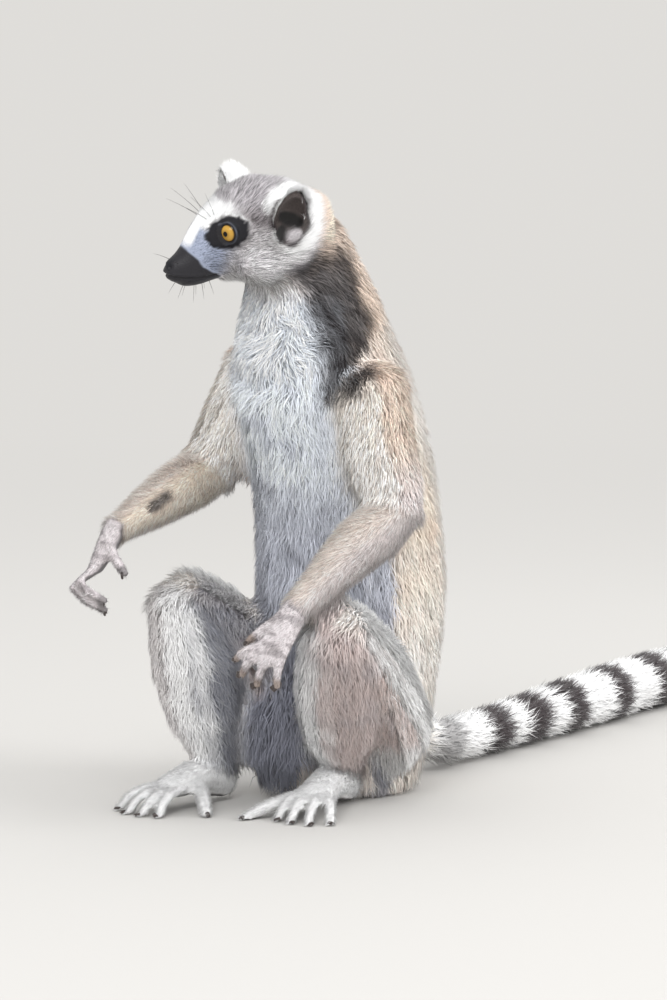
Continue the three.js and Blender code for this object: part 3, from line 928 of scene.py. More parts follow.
def fur_colour(body):
    """Each vertex's fur colour: every kind of part has its own, mixed by the vertex's share in that kind."""
    on, marks, ear_mark = Ground(body), face_marks(body.head), ear_marks(body)
    trunk = trunk_fur(on)
    by_kind = {
        "nose": on.plain("bare"),
        "head": head_fur(on, marks, ear_mark),
        "ear": mix(on.plain("white"), inner_ear_fur(on, ear_mark), ear_mark["inside"]),
        "neck": neck_fur(on),
        "chest": trunk,
        "belly": trunk,
        "tail": tail_fur(on),
        "thigh": thigh_fur(on),
        "shank": shank_fur(on),
        "foot": foot_fur(on),
        "upper_arm": upper_arm_fur(on),
        "forearm": forearm_fur(on),
        "hand": hand_fur(on),
        "eye": on.plain("bare"),
    }
    colour = sum(by_kind[name] * body.share(name)[:, None] for name in KINDS)
    # The neck's dark marks, and painted shade at the breast's parting and by the left arm.
    spots_and_shade = dark_spots_and_shade(body.points) * body.share("neck", "chest") * (0.5 + 0.5 * on.spots)
    band = collar(body.points) * body.share("neck", "chest", "upper_arm", "head") * (1 - marks["fringe"])
    return painted(colour, ("ring", spots_and_shade), ("collar", band * (0.85 + 0.15 * on.spots)))


def bareness(body):
    """1 where skin shows without hair: nose, lips, eye rims, hollows of the ears, palms, soles and gland."""
    marks = face_marks(body.head)
    rim = np.zeros(len(body.points))
    for side in (1, -1):
        radius, angle = eye_angle(body.head, side)
        rim = np.maximum(rim, ease(EYE_OPENING + 13, EYE_OPENING + 7, angle) * (radius < EYE_RADIUS + 3))
    bare = np.maximum(marks["muzzle"], rim) * body.share("head", "nose", "eye")
    bare = np.maximum(bare, body.share("nose", "eye"))
    soles = ease(0.45, 0.75, -body.normals[:, 2]) * body.share("foot")
    tips = digit_tips_near(body.points) * body.share("hand") * 0.6
    hollow = ear_marks(body)["hollow"] * body.share("ear", "head")
    strip = 0.6 * gland(body.points) * body.share("forearm")
    return np.clip(np.maximum.reduce([bare, soles, tips, palm_side(body), hollow, strip]), 0, 1)


# ---- lie of the coat -----------------------------------------------------------------------------

WHORL = np.array([12, -82, 277]) * MM  # where the hair of the breast parts and turns outwards
WHORL_REACH = 45 * MM


def corner_of(name, low_y, low_z):
    """The middle of an edge of a node's box that runs across the animal: front or back, and low or high."""
    low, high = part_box(name)
    return np.array([(low.x + high.x) / 2, low.y if low_y else high.y, low.z if low_z else high.z])


def part_ways():
    """For each part, the way its hair lies: down the trunk, down each limb to its end, and along the tail."""
    ways = np.tile([0.0, 0.12, -1.0], (len(PARTS), 1))
    for side in ("left", "right"):
        middle = {name: middle_of(f"{name}_{side}") for name in ("upper_arm", "forearm", "hand")}
        ways[PART[f"upper_arm_{side}"]] = unit(middle["forearm"] - middle["upper_arm"]) + [0, 0.35, -0.35]
        ways[PART[f"forearm_{side}"]] = middle["hand"] - middle["forearm"]
        ways[PART[f"hand_{side}"]] = middle["hand"] - middle["forearm"]
        knee = corner_of(f"thigh_{side}", True, False)
        hip = corner_of(f"thigh_{side}", False, True)
        ways[PART[f"thigh_{side}"]] = unit(hip - knee) * [0.3, 0.3, 0] + [0, 0, -1]
        shin = corner_of(f"shank_{side}", False, True) - corner_of(f"shank_{side}", True, False)
        ways[PART[f"shank_{side}"]] = unit(shin) + [0, 0, -0.35]
        ways[PART[f"foot_{side}"]] = [0, -1, -0.2]
    for number in range(1, TAIL_LENGTHS + 1):
        ahead, behind = min(number + 1, TAIL_LENGTHS), max(number - 1, 1)
        ways[PART[f"tail_{number}"]] = middle_of(f"tail_{ahead}") - middle_of(f"tail_{behind}")
    return unit(ways)


def head_ways(body):
    """The lie of the hair of head, ears and neck: away from the nose, the ear's root and the head."""
    local = body.head
    from_nose = unit(local - [0, -62, -20]) + [0, 0, 0.1]
    from_nose[:, 2] += 0.5 * bump(local[:, 1], -28, 8) * ease(0, 10, local[:, 2])
    way = body.share("head", "nose", "eye")[:, None] * (from_nose @ HEAD_AXES)
    from_ear = unit(local - [0, 2, -8]) + [0, 0.25, 0]
    way += body.share("ear")[:, None] * (from_ear @ HEAD_AXES)
    return way + body.share("neck")[:, None] * (unit(body.points - HEAD_MIDDLE) + [0, 0, -0.6])


def breast_share(body):
    """How far each vertex belongs to the whorl of the breast: a bell about WHORL on what faces forwards."""
    reach = np.linalg.norm(body.points - WHORL, axis=1)
    facing = ease(0.1, 0.5, -body.normals[:, 1])
    return body.share("neck", "chest") * facing * np.exp(-((reach / WHORL_REACH) ** 2))


def lie_of_coat(body):
    """Each vertex's hair direction: its parts' ways, laid into the skin, smoothed and turned in waves."""
    ways = part_ways()
    for name in ("head", "nose", "neck", *pair("ear"), *pair("eye")):
        ways[PART[name]] = 0
    way = body.shares @ ways + head_ways(body)
    facing_up = ease(0.25, 0.9, body.normals[:, 2])[:, None]
    way += body.share("thigh", "shank")[:, None] * facing_up * [0, -2.2, 0]
    outwards = np.sign(body.points[:, 0])[:, None] * [0.9, 0, 0] + [0, 0.3, 0]
    way += body.share("upper_arm")[:, None] * facing_up * outwards
    breast = breast_share(body)
    way += (unit(body.points - WHORL) + [0, 0, 0.2]) * (breast * 0.8)[:, None]
    for _ in range(4):
        way = unit(way - body.normals * dot(way, body.normals)[:, None])
        way = relaxed(way, body.edges, 6)
    way = unit(way - body.normals * dot(way, body.normals)[:, None])
    turn = 0.22 * wobble(body.points, 0.032, 4.0) + 0.12 * wobble(body.points, 0.012, 2.0)
    turn += 0.8 * breast * wobble(body.points, 0.02, 1.5) + 0.4 * breast * wobble(body.points, 0.008, 3.5)
    turn = turn * (1 - body.share("head", "nose", "eye"))
    return way * np.cos(turn)[:, None] + np.cross(body.normals, way) * np.sin(turn)[:, None]


def coat_measures(body):
    """Depth, length, width, count and clumping of the locks at each vertex, by the names in MEASURES.

    They are the table's values by kind of part, mixed with those of the head's short-haired places, and
    longer on the cheeks and on the ears' fringe."""
    table = body.kinds @ np.array(list(COAT.values()))
    marks = face_marks(body.head)
    on_head = body.share("head", "nose", "eye")
    back = body.head[:, 1]
    place, reach, _, edge = round_ear(body.head)
    inner_ear = ear_marks(body)["inside"]
    before_ear = ease(edge + 6, edge + 3, reach) * (place[:, 1] < -2) * ease(-16, -12, place[:, 0])
    short = {
        (0.5, 2.2, 0.4, 3.0, 0.05): ease(-24, -46, back) * on_head,
        (0.35, 1.8, 0.4, 3.0, 0.05): marks["patch"] * on_head,
        (1.6, 3.4, 0.4, 2.8, 0.1): before_ear * on_head,
        (0.8, 2.6, 0.4, 2.2, 0.05): inner_ear,
        (1.6, 2.6, 0.4, 2.6, 0.1): body.share("ear") * (body.head[:, 0] < 0) * ease(3, 7, place[:, 0]),
    }
    for values, share in short.items():
        table = mix(table, np.array(values), share)
    measures = dict(zip(MEASURES, table.T, strict=True))
    fringe = marks["fringe"] * (1 - inner_ear) * np.maximum(on_head, body.share("ear"))
    longer = np.where(body.head[:, 0] > 0, *FRINGE_LONGER) * (place[:, 1] > -6)
    cheek = CHEEK_LONGER * marks["cheek"] * ease(-22, 0, back) * on_head
    measures["length"] = measures["length"] + cheek + longer * fringe
    return measures


# ---- the skin piece ------------------------------------------------------------------------------

GROWN = {}  # the finished body and its bareness, kept for the coat and the whiskers
SKIN_CLEAR = 0.4  # millimetres that the lowest skin keeps over the floor
UNDER_HAIR = 0.85  # the skin's colour under the hair, over the hair's own


STEP_ROUNDS, BODY_ROUNDS, BACK_ROUNDS = 3, 22, 24  # rounds of smoothing: everywhere, on the body, behind


def smoothed_shell():
    """The shell of the solids without its grid's steps, smoothed most on the trunk's back.

    The head, hands and feet keep the forms that the solids give."""
    points, faces, shares = shell_of_parts()
    edges = edges_of(faces)
    calm = relaxed(shares @ IS_KIND, edges, 6)
    fine = calm[:, kind_numbers("nose", "head", "ear", "eye", "hand", "foot")].sum(1)
    points = without_ripples(points, edges, STEP_ROUNDS, 0.5)
    points = without_ripples(points, edges, BODY_ROUNDS, 0.5 * np.clip(1 - fine, 0, 1))
    trunk = calm[:, kind_numbers("chest", "belly")].sum(1) * ease(-20, 10, points[:, 1] / MM)
    return relaxed(points, edges, BACK_ROUNDS, 0.6 * trunk), faces, shares


def with_fine_parts(points, faces, shares):
    """The shell with its triangles cut in four on the ears, hands, feet and face, and again on the face."""
    table = np.concatenate([points, shares], 1)
    kind = KIND_OF_PART[shares.argmax(1)]
    on_head = np.isin(kind, kind_numbers("nose", "head", "ear", "eye"))
    front = on_head & (in_head(points)[:, 1] < FACE_BACK)
    fine = front | np.isin(kind, kind_numbers("ear", "hand", "foot"))
    table, faces = refined(table, faces, fine[faces].any(1))
    kind = KIND_OF_PART[table[:, 3:].argmax(1)]
    on_head = np.isin(kind, kind_numbers("nose", "head", "eye"))
    face = on_head & (in_head(table[:, :3])[:, 1] < FACE_BACK - 2)
    table, faces = refined(table, faces, face[faces].any(1))
    return table[:, :3], faces, table[:, 3:]


def grow_body():
    """The skin: the shell of the solids drawn in by the coat's depth, and given lids, mouth and nostrils."""
    points, faces, shares = with_fine_parts(*smoothed_shell())
    edges = edges_of(faces)
    shares = relaxed(shares, edges, 5)
    points = without_ripples(points, edges, 4, 0.5)
    body = Body(points, faces, shares)
    depth = relaxed(coat_measures(body)["depth"], edges, 12)
    way_in = unit(relaxed(body.normals, edges, 8))
    body.points = points - way_in * (depth + SWELL)[:, None] * MM
    body.points = relaxed(body.points, edges, 3, 0.4 * np.clip(depth / 4, 0, 1))
    body.measure()
    local = with_mouth(with_lids(body.head), body.normals @ HEAD_AXES.T)
    moved = body.share("head", "nose", "eye")[:, None] > 0.02
    body.points = np.where(moved, from_head(local), body.points)
    body.points[:, 2] = np.maximum(body.points[:, 2], SKIN_CLEAR * MM)
    body.measure()
    return body


def skin_material():
    """Skin in the colours of the markings: a hair-fine bump under the coat, and pebbles where it is bare."""
    material, nodes, links, shader = new_material("lemur skin")
    bare = attribute(nodes, "bare")
    place = nodes.new("ShaderNodeTexCoord")
    hairs = nodes.new("ShaderNodeTexNoise")
    hairs.inputs["Scale"].default_value = 900.0
    hairs.inputs["Detail"].default_value = 6.0
    hairs.inputs["Roughness"].default_value = 0.6
    pebbles = nodes.new("ShaderNodeTexVoronoi")
    pebbles.inputs["Scale"].default_value = 1100.0
    height = nodes.new("ShaderNodeMix")
    raised = nodes.new("ShaderNodeBump")
    raised.inputs["Strength"].default_value = 0.35
    raised.inputs["Distance"].default_value = 0.4 * MM
    rough = nodes.new("ShaderNodeMapRange")
    rough.inputs["To Min"].default_value = 0.85
    rough.inputs["To Max"].default_value = 0.48
    for pattern in (hairs, pebbles):
        links.new(place.outputs["Object"], pattern.inputs["Vector"])
    links.new(bare.outputs["Fac"], height.inputs["Factor"])
    links.new(hairs.outputs["Fac"], height.inputs["A"])
    links.new(pebbles.outputs["Distance"], height.inputs["B"])
    links.new(height.outputs["Result"], raised.inputs["Height"])
    links.new(bare.outputs["Fac"], rough.inputs["Value"])
    links.new(attribute(nodes, "skin_colour").outputs["Color"], shader.inputs["Base Color"])
    links.new(rough.outputs["Result"], shader.inputs["Roughness"])
    links.new(raised.outputs["Normal"], shader.inputs["Normal"])
    shader.inputs["Specular IOR Level"].default_value = 0.35
    return material


def new_material(name):
    """A material with its nodes, its links and its one shader."""
    material = bpy.data.materials.new(name)
    material.use_nodes = True
    nodes, links = material.node_tree.nodes, material.node_tree.links
    return material, nodes, links, nodes["Principled BSDF"]


def attribute(nodes, name):
    """A node that reads what the mesh keeps at its vertices under a name."""
    node = nodes.new("ShaderNodeAttribute")
    node.attribute_name = name
    return node


def make_skin():
    """The skin piece, a little darker under the hair, with pale mottled painted highlights on the lids' rims.
    """
    body = grow_body()
    bare = bareness(body)
    ground = relaxed(fur_colour(body), body.edges, 1) * mix(UNDER_HAIR, 1.0, bare)[:, None]
    # A painted highlight: a pale grey ring along each lid's rim, where the wet skin would catch the light.
    for side in (1, -1):
        radius, angle = eye_angle(body.head, side)
        edge = bump(angle, EYE_OPENING + 8, 3.5) * (radius < EYE_RADIUS + 3)
        edge = edge * (0.6 + 0.4 * wobble(body.head, 12.0))
        ground = painted(ground, ("lid", edge * 0.7))
    mesh = mesh_from("skin", body.points, body.faces)
    add_colour(mesh, "skin_colour", ground)
    add_number(mesh, "bare", bare)
    GROWN.update(body=body, bare=bare)
    skin = show("skin", mesh, skin_material())
    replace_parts(skin, *FLESH)


# ---- locks ---------------------------------------------------------------------------------------

# The coat's pieces: their parts, and how many stretches a lock has. One is a straight spike of 4 triangles
# for short hair, and two are a spindle of 6 that bends over to lie along the body.
COAT_PIECES = {
    "coat_head": (["head", "nose", *pair("eye")], 1),
    "coat_ears": (pair("ear"), 1),
    "coat_neck": (["neck"], 2),
    "coat_chest": (["chest"], 2),
    "coat_belly": (["belly"], 2),
    "coat_tail": (TAIL, 2),
    "coat_upper_arms": (pair("upper_arm"), 2),
    "coat_forearms": (pair("forearm"), 1),
    "coat_thighs": (pair("thigh"), 2),
    "coat_shanks": (pair("shank"), 2),
    "coat_hands_feet": ([*pair("hand"), *pair("foot")], 1),
}
MOST_TRIANGLES = 199000  # in one piece
RING = np.radians([30, 150, 270])  # a lock's corners round its run: two level on top and one below

LOCKS_PER_CLUMP = 13
LENGTHS = (0.7, 0.5)  # a lock's length over the table's: the least, and what chance adds
HEIGHTS = (0.5, 0.65)  # the same for its height over the depth of the coat, and below for half its width
HALF_WIDTHS = (0.35, 0.3)
STEEPEST = 0.8  # a lock's height over its length, at most
MIDDLE_REACH, MIDDLE_HEIGHT = 0.45, 0.72  # where a bent lock's middle is, over its reach and its height
FLATNESS = 0.6  # a lock's thickness over its width
SUNK = 0.5  # millimetres of each lock under the skin
FLOOR_CLEAR = 0.3  # millimetres that the lowest hair keeps over the floor
SOFTNESS = (0.84, 0.84, 0.15)  # how far each corner of a lock is shaded as the body under it
ROOT_SHADE, SPIKE_SHADE = 0.75, 0.9  # how dark the root of a spindle and of a spike are: painted shade deep in the coat, and the hair's darker under-colour
DARK_FLECKS = 0.42  # the share of a speckle's locks that are dark
DARKER, PALER = 0.78, 0.55  # how much darker those are than their own tone, and how much paler the others
SHADE_LIMITS = (0.1, 1.6)  # a lock's tone, at the least and the most
BRIGHTEST = 0.96


def lock_faces(stretches):
    """The triangles of a closed lock.

    A spike's corners are three round the root and the tip. A spindle's are the root, three round the middle
    and the tip."""
    if stretches == 1:
        return np.array([(0, 2, 1), (0, 1, 3), (1, 2, 3), (2, 0, 3)])
    return np.array([(0, 2, 1), (0, 3, 2), (0, 1, 3), (1, 2, 4), (2, 3, 4), (3, 1, 4)])


def areas_of(body):
    """The area of each of the skin's triangles: half the length of the cross product of two sides."""
    corner = body.points[body.faces]
    return np.linalg.norm(np.cross(corner[:, 1] - corner[:, 0], corner[:, 2] - corner[:, 0]), axis=1) / 2


def sown(body, weight, count, random):
    """`count` places on the skin, spread evenly by weight: triangle numbers and the shares of their corners.

    Even steps along the running total of weighted area give the triangles."""
    total = np.cumsum(areas_of(body) * weight[body.faces].mean(1))
    spot = (np.arange(count) + random.random(count)) / count * total[-1]
    triangle = np.minimum(np.searchsorted(total, spot), len(total) - 1)
    a, b = random.random(count), random.random(count)
    flip = a + b > 1
    a, b = np.where(flip, 1 - a, a), np.where(flip, 1 - b, b)
    return triangle, np.stack([1 - a - b, a, b], 1)


LEADER_BATCH = 4000  # roots whose leaders are looked for at a time


def leaders_of(roots, per_clump, random):
    """For each root, the nearest of the roots picked as leaders, which are one in every `per_clump`.

    The nearest leader has the least of half its squared place less its product with the root's place."""
    chosen = random.choice(len(roots), max(len(roots) // per_clump, 1), replace=False)
    base = roots[chosen] - roots[0]
    half = (base**2).sum(1) / 2
    nearest = np.empty(len(roots), int)
    for start in range(0, len(roots), LEADER_BATCH):
        batch = slice(start, start + LEADER_BATCH)
        nearest[batch] = (half - (roots[batch] - roots[0]) @ base.T).argmin(1)
    return chosen[nearest]


def ring_round(centre, run, side, wide, high):
    """Three points round a lock on an ellipse across its run, and the directions from its middle to them."""
    rise = np.cross(run, side)
    across = side[:, None] * np.cos(RING)[None, :, None]
    over = rise[:, None] * np.sin(RING)[None, :, None]
    return centre[:, None] + across * wide[:, None, None] + over * high[:, None, None], unit(across + over)


def varied(measures, chance):
    """The least of the measures, with chance's share of what it may add."""
    least, more = measures
    return least + more * chance


def grow_locks(body, fields, weight, count, stretches, random):
    """`count` closed locks that start under the skin, rise quickly and then lie along it to a fine tip.

    The tip is the lock's reach along the lie and its height over the skin, less half the skin's bend times
    the square of the reach. Middle and tip are then drawn to those of their clump's leader."""
    triangle, share = sown(body, weight, count, random)
    corners = body.faces[triangle]

    def at(name_or_values):
        values = fields[name_or_values] if isinstance(name_or_values, str) else name_or_values
        return (values[corners] * share.reshape(count, 3, *[1] * (values.ndim - 1))).sum(1)

    root, normal, way = at(body.points), unit(at(body.normals)), at("way")
    way = unit(way - normal * dot(way, normal)[:, None])
    side = np.cross(normal, way)
    vary = random.random((count, 6))
    sway = random.normal(0, 1, (count, 2)) * at("loose")[:, None]
    length = at("length") * MM * varied(LENGTHS, vary[:, 0])
    height = np.minimum(at("depth") * MM * varied(HEIGHTS, vary[:, 1]), STEEPEST * length)
    reach = np.sqrt(length**2 - height**2)
    drop = 0.5 * at("bend") * reach**2
    rise = MIDDLE_HEIGHT * height - 0.2 * drop
    middle = root + way * (MIDDLE_REACH * reach)[:, None] + normal * rise[:, None]
    middle += side * (0.4 * reach * sway[:, 0])[:, None]
    tip = root + way * reach[:, None] + normal * (height - drop)[:, None]
    tip += side * (reach * sway[:, 1])[:, None]
    leader = leaders_of(root, LOCKS_PER_CLUMP, random)
    draw = (at("clump") * (0.4 + 0.6 * vary[:, 2]))[:, None]
    middle, tip = middle + (middle[leader] - middle) * 0.4 * draw, tip + (tip[leader] - tip) * draw
    half = at("width") * MM * varied(HALF_WIDTHS, vary[:, 3])
    start = root - normal * SUNK * MM
    spike = stretches == 1
    ring, out = ring_round(start if spike else middle, unit(tip - root), side, half, FLATNESS * half)
    points = np.concatenate([ring, tip[:, None]] if spike else [start[:, None], ring, tip[:, None]], 1)
    points[..., 2] = np.maximum(points[..., 2], FLOOR_CLEAR * MM)
    soft = np.array(SOFTNESS)[None, :, None]
    around, end = unit(out * (1 - soft) + normal[:, None] * soft), unit(normal + 0.5 * way)[:, None]
    normals = np.concatenate([around, end] if spike else [normal[:, None], around, end], 1)

    tone = 1 + (0.6 * random.normal(0, 1, count)[leader] + random.normal(0, 1, count)) * at("tone")
    fleck = at("speckle")
    tone *= np.where(vary[:, 4] < DARK_FLECKS, 1 - DARKER * fleck, 1 + PALER * fleck)
    number = points.shape[1]
    own = mix(at("colour"), at("blurred"), at("ragged") * random.random(count))
    colour = np.repeat(own[:, None] * np.clip(tone, *SHADE_LIMITS)[:, None, None], number, 1)
    # Painted shade and the hair's darker under-colour at the roots.
    colour[:, : 3 if spike else 1] *= SPIKE_SHADE if spike else ROOT_SHADE
    colour[:, -1] = mix(colour[:, -1], FUR["white"], at("frost") * vary[:, 5])
    colour = np.clip(colour, 0, BRIGHTEST)
    faces = lock_faces(stretches)[None] + number * np.arange(count)[:, None, None]
    part = body.shares[corners[:, 0]].argmax(1)
    return points.reshape(-1, 3), faces.reshape(-1, 3), colour.reshape(-1, 3), normals, root, part


PATCH = 0.003  # the width of one lock's patch on the unwrap
MARGIN = 0.04  # of a part's cell, left free on each side


def unwrapped(roots, parts):
    """Each root's place on an unwrap of its part: the angle round the part's axis, and how far along it is.

    The parts of a piece lie side by side in a square of cells."""
    present = np.unique(parts)
    columns = math.ceil(math.sqrt(len(present)))
    place = np.zeros((len(roots), 2))
    ways = part_ways()
    for number, part in enumerate(present):
        mine = parts == part
        away = roots[mine] - middle_of(PARTS[part])
        axis = ways[part]
        other_way = [0.31, 0.17, 0.93] if abs(axis[2]) < 0.9 else [1.0, 0.1, 0.0]
        across = unit(np.cross(axis, other_way))
        other = np.cross(axis, across)
        angle = np.arctan2(away @ other, away @ across) / (2 * math.pi) + 0.5
        run = away @ axis
        run = (run - run.min()) / max(np.ptp(run), 1e-9)
        cell = (MARGIN + (1 - 2 * MARGIN) * np.stack([angle, run], 1)) / columns
        place[mine] = cell + np.array([number % columns, number // columns]) / columns
    return place


def add_patches(mesh, faces, roots, parts, stretches):
    """The map OFBake: each lock is a small patch, its root low and its tip high, at its root's place."""
    across = np.array([-0.5, 0, 0.5, 0] if stretches == 1 else [0, -0.5, 0, 0.5, 0]) * PATCH * 0.8
    up = np.array([0, 0, 0, 1] if stretches == 1 else [0, 0.5, 0.5, 0.5, 1]) * PATCH - PATCH / 2
    place = unwrapped(roots, parts)[:, None] + np.stack([across, up], 1)[None]
    layer = mesh.uv_layers.new(name="OFBake")
    layer.data.foreach_set("uv", place.reshape(-1, 2)[faces.ravel()].astype(np.float32).ravel())


def coat_material():
    """Dull soft hair: colour from the locks, a wide weak highlight and a little sheen where it turns away."""
    material, nodes, links, shader = new_material("lemur coat")
    links.new(attribute(nodes, "coat_colour").outputs["Color"], shader.inputs["Base Color"])
    shader.inputs["Roughness"].default_value = 0.72
    shader.inputs["Specular IOR Level"].default_value = 0.22
    shader.inputs["Sheen Weight"].default_value = 0.12
    shader.inputs["Sheen Roughness"].default_value = 0.55
    return material


def bend_along(body, way):
    """How fast the skin curves away under the hair, in turns of the normal over a metre along its way.

    Each edge tells the change of normal along itself. A vertex takes the mean of its edges, those that run
    with the hair counting most."""
    a, b = body.edges.T
    run = body.points[b] - body.points[a]
    size = np.maximum((run**2).sum(1), 1e-12)
    turn = dot(body.normals[b] - body.normals[a], run) / size
    total, weight = np.zeros(len(way)), np.full(len(way), 1e-9)
    for end in (a, b):
        share = dot(run, way[end]) ** 2 / size
        total += np.bincount(end, share * turn, len(way))
        weight += np.bincount(end, share, len(way))
    return relaxed(total / weight, body.edges, 8)


TIP_SHARE = 0.6  # how far along its hair the colour of a place on the skin is read, over the hair's length


def at_the_tips(body, way, length):
    """The body's shares and normals with each point moved to where the tip of its hair lies."""
    there = copy.copy(body)
    there.points = body.points + way * (TIP_SHARE * length * MM)[:, None]
    there.head = in_head(there.points)
    return there


BEND_SHARE, SHARPEST_BEND = 0.2, 45  # how far hair follows the skin's bend, and the bend where it stops


def coat_fields(body, bare):
    """What the locks read from the skin, a value for each vertex.

    They are the measures, the lie and bend, the colour and its blurred copy, how speckled, frosted, varied in
    tone and loose the locks are, and how ragged the edges of the markings are. Colours are read where the
    tips lie, so that those edges are where they are seen."""
    marks, share = face_marks(body.head), body.share
    clear = np.maximum.reduce([marks["brow"], marks["fringe"], marks["patch"], marks["muzzle"]])
    speckle = share("head") * (1 - clear) * 0.9 + 0.3 * share("neck")
    speckle += 0.22 * share("foot") + 0.75 * share("hand")
    speckle += 0.38 * share("upper_arm", "forearm", "thigh") + 0.5 * ear_marks(body)["inside"]
    dark = collar(body.points) * share("neck", "chest", "upper_arm", "head")
    frost = 0.5 * share("chest", "belly", "neck") * ease(0.0, 0.7, body.normals[:, 1])
    frost += 0.5 * share("thigh") + 0.35 * share("upper_arm", "shank") + 0.3 * share("forearm")
    values = coat_measures(body)
    values["speckle"] = speckle
    values["frost"] = frost * (1 - 0.9 * dark)
    values["tone"] = 0.07 + 0.03 * share("thigh", "upper_arm", "forearm") - 0.03 * share("chest", "tail")
    values["loose"] = 0.12 + 0.08 * share("chest", "belly", "shank") + 0.05 * share("neck", "tail")
    values["ragged"] = 0.5 * (1 - share("head", "nose", "eye", "ear", "hand")) * (1 - 0.7 * dark)
    fields = {name: relaxed(value, body.edges, 4) for name, value in values.items()}
    fields["count"] = fields["count"] * (1 - ease(0.35, 0.75, bare))
    fields["depth"] += 1.3 * share("foot") + 0.6 * share("hand")
    fields["way"] = lie_of_coat(body)
    fields["bend"] = BEND_SHARE * np.clip(bend_along(body, fields["way"]), 0, SHARPEST_BEND)
    fields["colour"] = fur_colour(at_the_tips(body, fields["way"], fields["length"]))
    fields["blurred"] = relaxed(fields["colour"], body.edges, 14)
    return fields


def make_coat():
    """The coat's pieces, each with as many locks as its skin's area and the table ask for, up to
    MOST_TRIANGLES triangles.
    """
    body, settings, material = GROWN["body"], bpy.context.scene.lemur, coat_material()
    fields = coat_fields(body, GROWN["bare"])
    fields["length"] = fields["length"] * settings.coat_length
    area = areas_of(body) / MM**2
    part = body.shares.argmax(1)
    for number, (piece, (names, stretches)) in enumerate(COAT_PIECES.items()):
        weight = fields["count"] * np.isin(part, [PART[name] for name in names])
        need = float((area * weight[body.faces].mean(1)).sum()) * settings.fullness
        count = min(MOST_TRIANGLES // len(lock_faces(stretches)), int(need))
        random = np.random.default_rng([SEED, number])
        grown = grow_locks(body, fields, weight, count, stretches, random)
        points, faces, shades, normals, roots, parts = grown
        mesh = mesh_from(piece, points, faces)
        add_colour(mesh, "coat_colour", shades)
        add_patches(mesh, faces, roots, parts, stretches)
        mesh.normals_split_custom_set_from_vertices(normals.reshape(-1, 3).astype(np.float32))
        show(piece, mesh, material)


# ---- eyes ----------------------------------------------------------------------------------------

PUPIL, IRIS = 0.19, 0.70  # radians from the eye's axis to the edge of the pupil and of the iris
CORNEA = 0.8  # millimetres that the clear front bulges
EYE_ROWS, EYE_COLUMNS = 76, 96
FRONT_ROWS, FRONT_ANGLE = 0.7, 0.85  # the share of the rows over the front, and where that ends in radians


def ball_grid(rows, columns):
    """The angle from the pole and the angle round it at each point of a closed ball, and its triangles.

    The rows crowd over the front, where the iris is."""
    share = np.arange(1, rows) / rows
    behind = np.clip((share - FRONT_ROWS) / (1 - FRONT_ROWS), 0, 1)
    polar = FRONT_ANGLE * np.minimum(share / FRONT_ROWS, 1) + (math.pi - FRONT_ANGLE) * behind
    turn = 2 * math.pi * np.arange(columns) / columns
    angles = np.concatenate([[0], np.repeat(polar, columns), [math.pi]])
    rounds = np.concatenate([[0], np.tile(turn, rows - 1), [0]])
    here = 1 + np.arange(columns)
    there = 1 + (np.arange(columns) + 1) % columns
    last = (rows - 2) * columns
    faces = [np.stack([np.zeros(columns, int), here, there], 1)]
    starts = (np.arange(rows - 2) * columns)[:, None]
    faces += [np.stack([here + starts, here + columns + starts, there + columns + starts], 2).reshape(-1, 3)]
    faces += [np.stack([here + starts, there + columns + starts, there + starts], 2).reshape(-1, 3)]
    end = np.full(columns, 1 + (rows - 1) * columns)
    faces += [np.stack([here + last, end, there + last], 1)]
    return angles, rounds, np.concatenate(faces)


def eye_colours(angle, turn, iris):
    """A black pupil, an amber iris with fine rays and a dark rim, and a dark brown white of the eye.

    The rays are two bent sines of the turn round the axis."""
    rays = 0.5 + 0.25 * np.sin(37 * turn + 2 * np.sin(5 * turn))
    rays = rays + 0.25 * np.sin(61 * turn + 3 * np.sin(3 * turn + 1))
    across = np.clip((angle - PUPIL) / (IRIS - PUPIL), 0, 1)
    colour = mix(np.tile(iris * 0.72, (len(angle), 1)), iris, ease(0, 0.45, across))
    colour = colour * (0.86 + 0.2 * rays * bump(across, 0.5, 0.45))[:, None]
    colour = mix(colour, iris * 0.25, ease(0.8, 1.0, across))
    colour = mix(colour, linear(8, 7, 8), 1 - ease(PUPIL - 0.02, PUPIL + 0.02, angle))
    return mix(colour, linear(38, 28, 24), ease(IRIS - 0.03, IRIS + 0.05, angle))


def eye_material():
    """The eye's own colours under a clear wet coat."""
    material, nodes, links, shader = new_material("lemur eye")
    links.new(attribute(nodes, "eye_colour").outputs["Color"], shader.inputs["Base Color"])
    shader.inputs["Roughness"].default_value = 0.4
    shader.inputs["Specular IOR Level"].default_value = 0.0
    shader.inputs["Coat Weight"].default_value = 0.7
    shader.inputs["Coat IOR"].default_value = 1.38
    shader.inputs["Coat Roughness"].default_value = 0.05
    return material


def make_eyes():
    """The eyeballs: balls whose poles look out along their axes, with the front raised by the cornea."""
    material, iris = eye_material(), np.array(bpy.context.scene.lemur.iris)
    angle, turn, faces = ball_grid(EYE_ROWS, EYE_COLUMNS)
    for side, name in ((1, "eye_left"), (-1, "eye_right")):
        axis = eye_axis(side)
        across = unit(np.cross(axis, [0, 0, 1.0]))
        up = np.cross(across, axis)
        out = axis * np.cos(angle)[:, None]
        out = out + (across * np.cos(turn)[:, None] + up * np.sin(turn)[:, None]) * np.sin(angle)[:, None]
        radius = EYE_RADIUS + CORNEA * (1 - ease(0.1, 0.8, angle))
        points = from_head(EYE_MIDDLES[side] + out * radius[:, None])
        first = points[faces[0]]
        outward = dot(np.cross(first[1] - first[0], first[2] - first[0]), axis @ HEAD_AXES) > 0
        mesh = mesh_from(f"eyeball_{name[4:]}", points, faces if outward else faces[:, ::-1])
        add_colour(mesh, "eye_colour", eye_colours(angle, turn, iris))
        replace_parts(show(f"eyeball_{name[4:]}", mesh, material), name)


# ---- nails and whiskers --------------------------------------------------------------------------

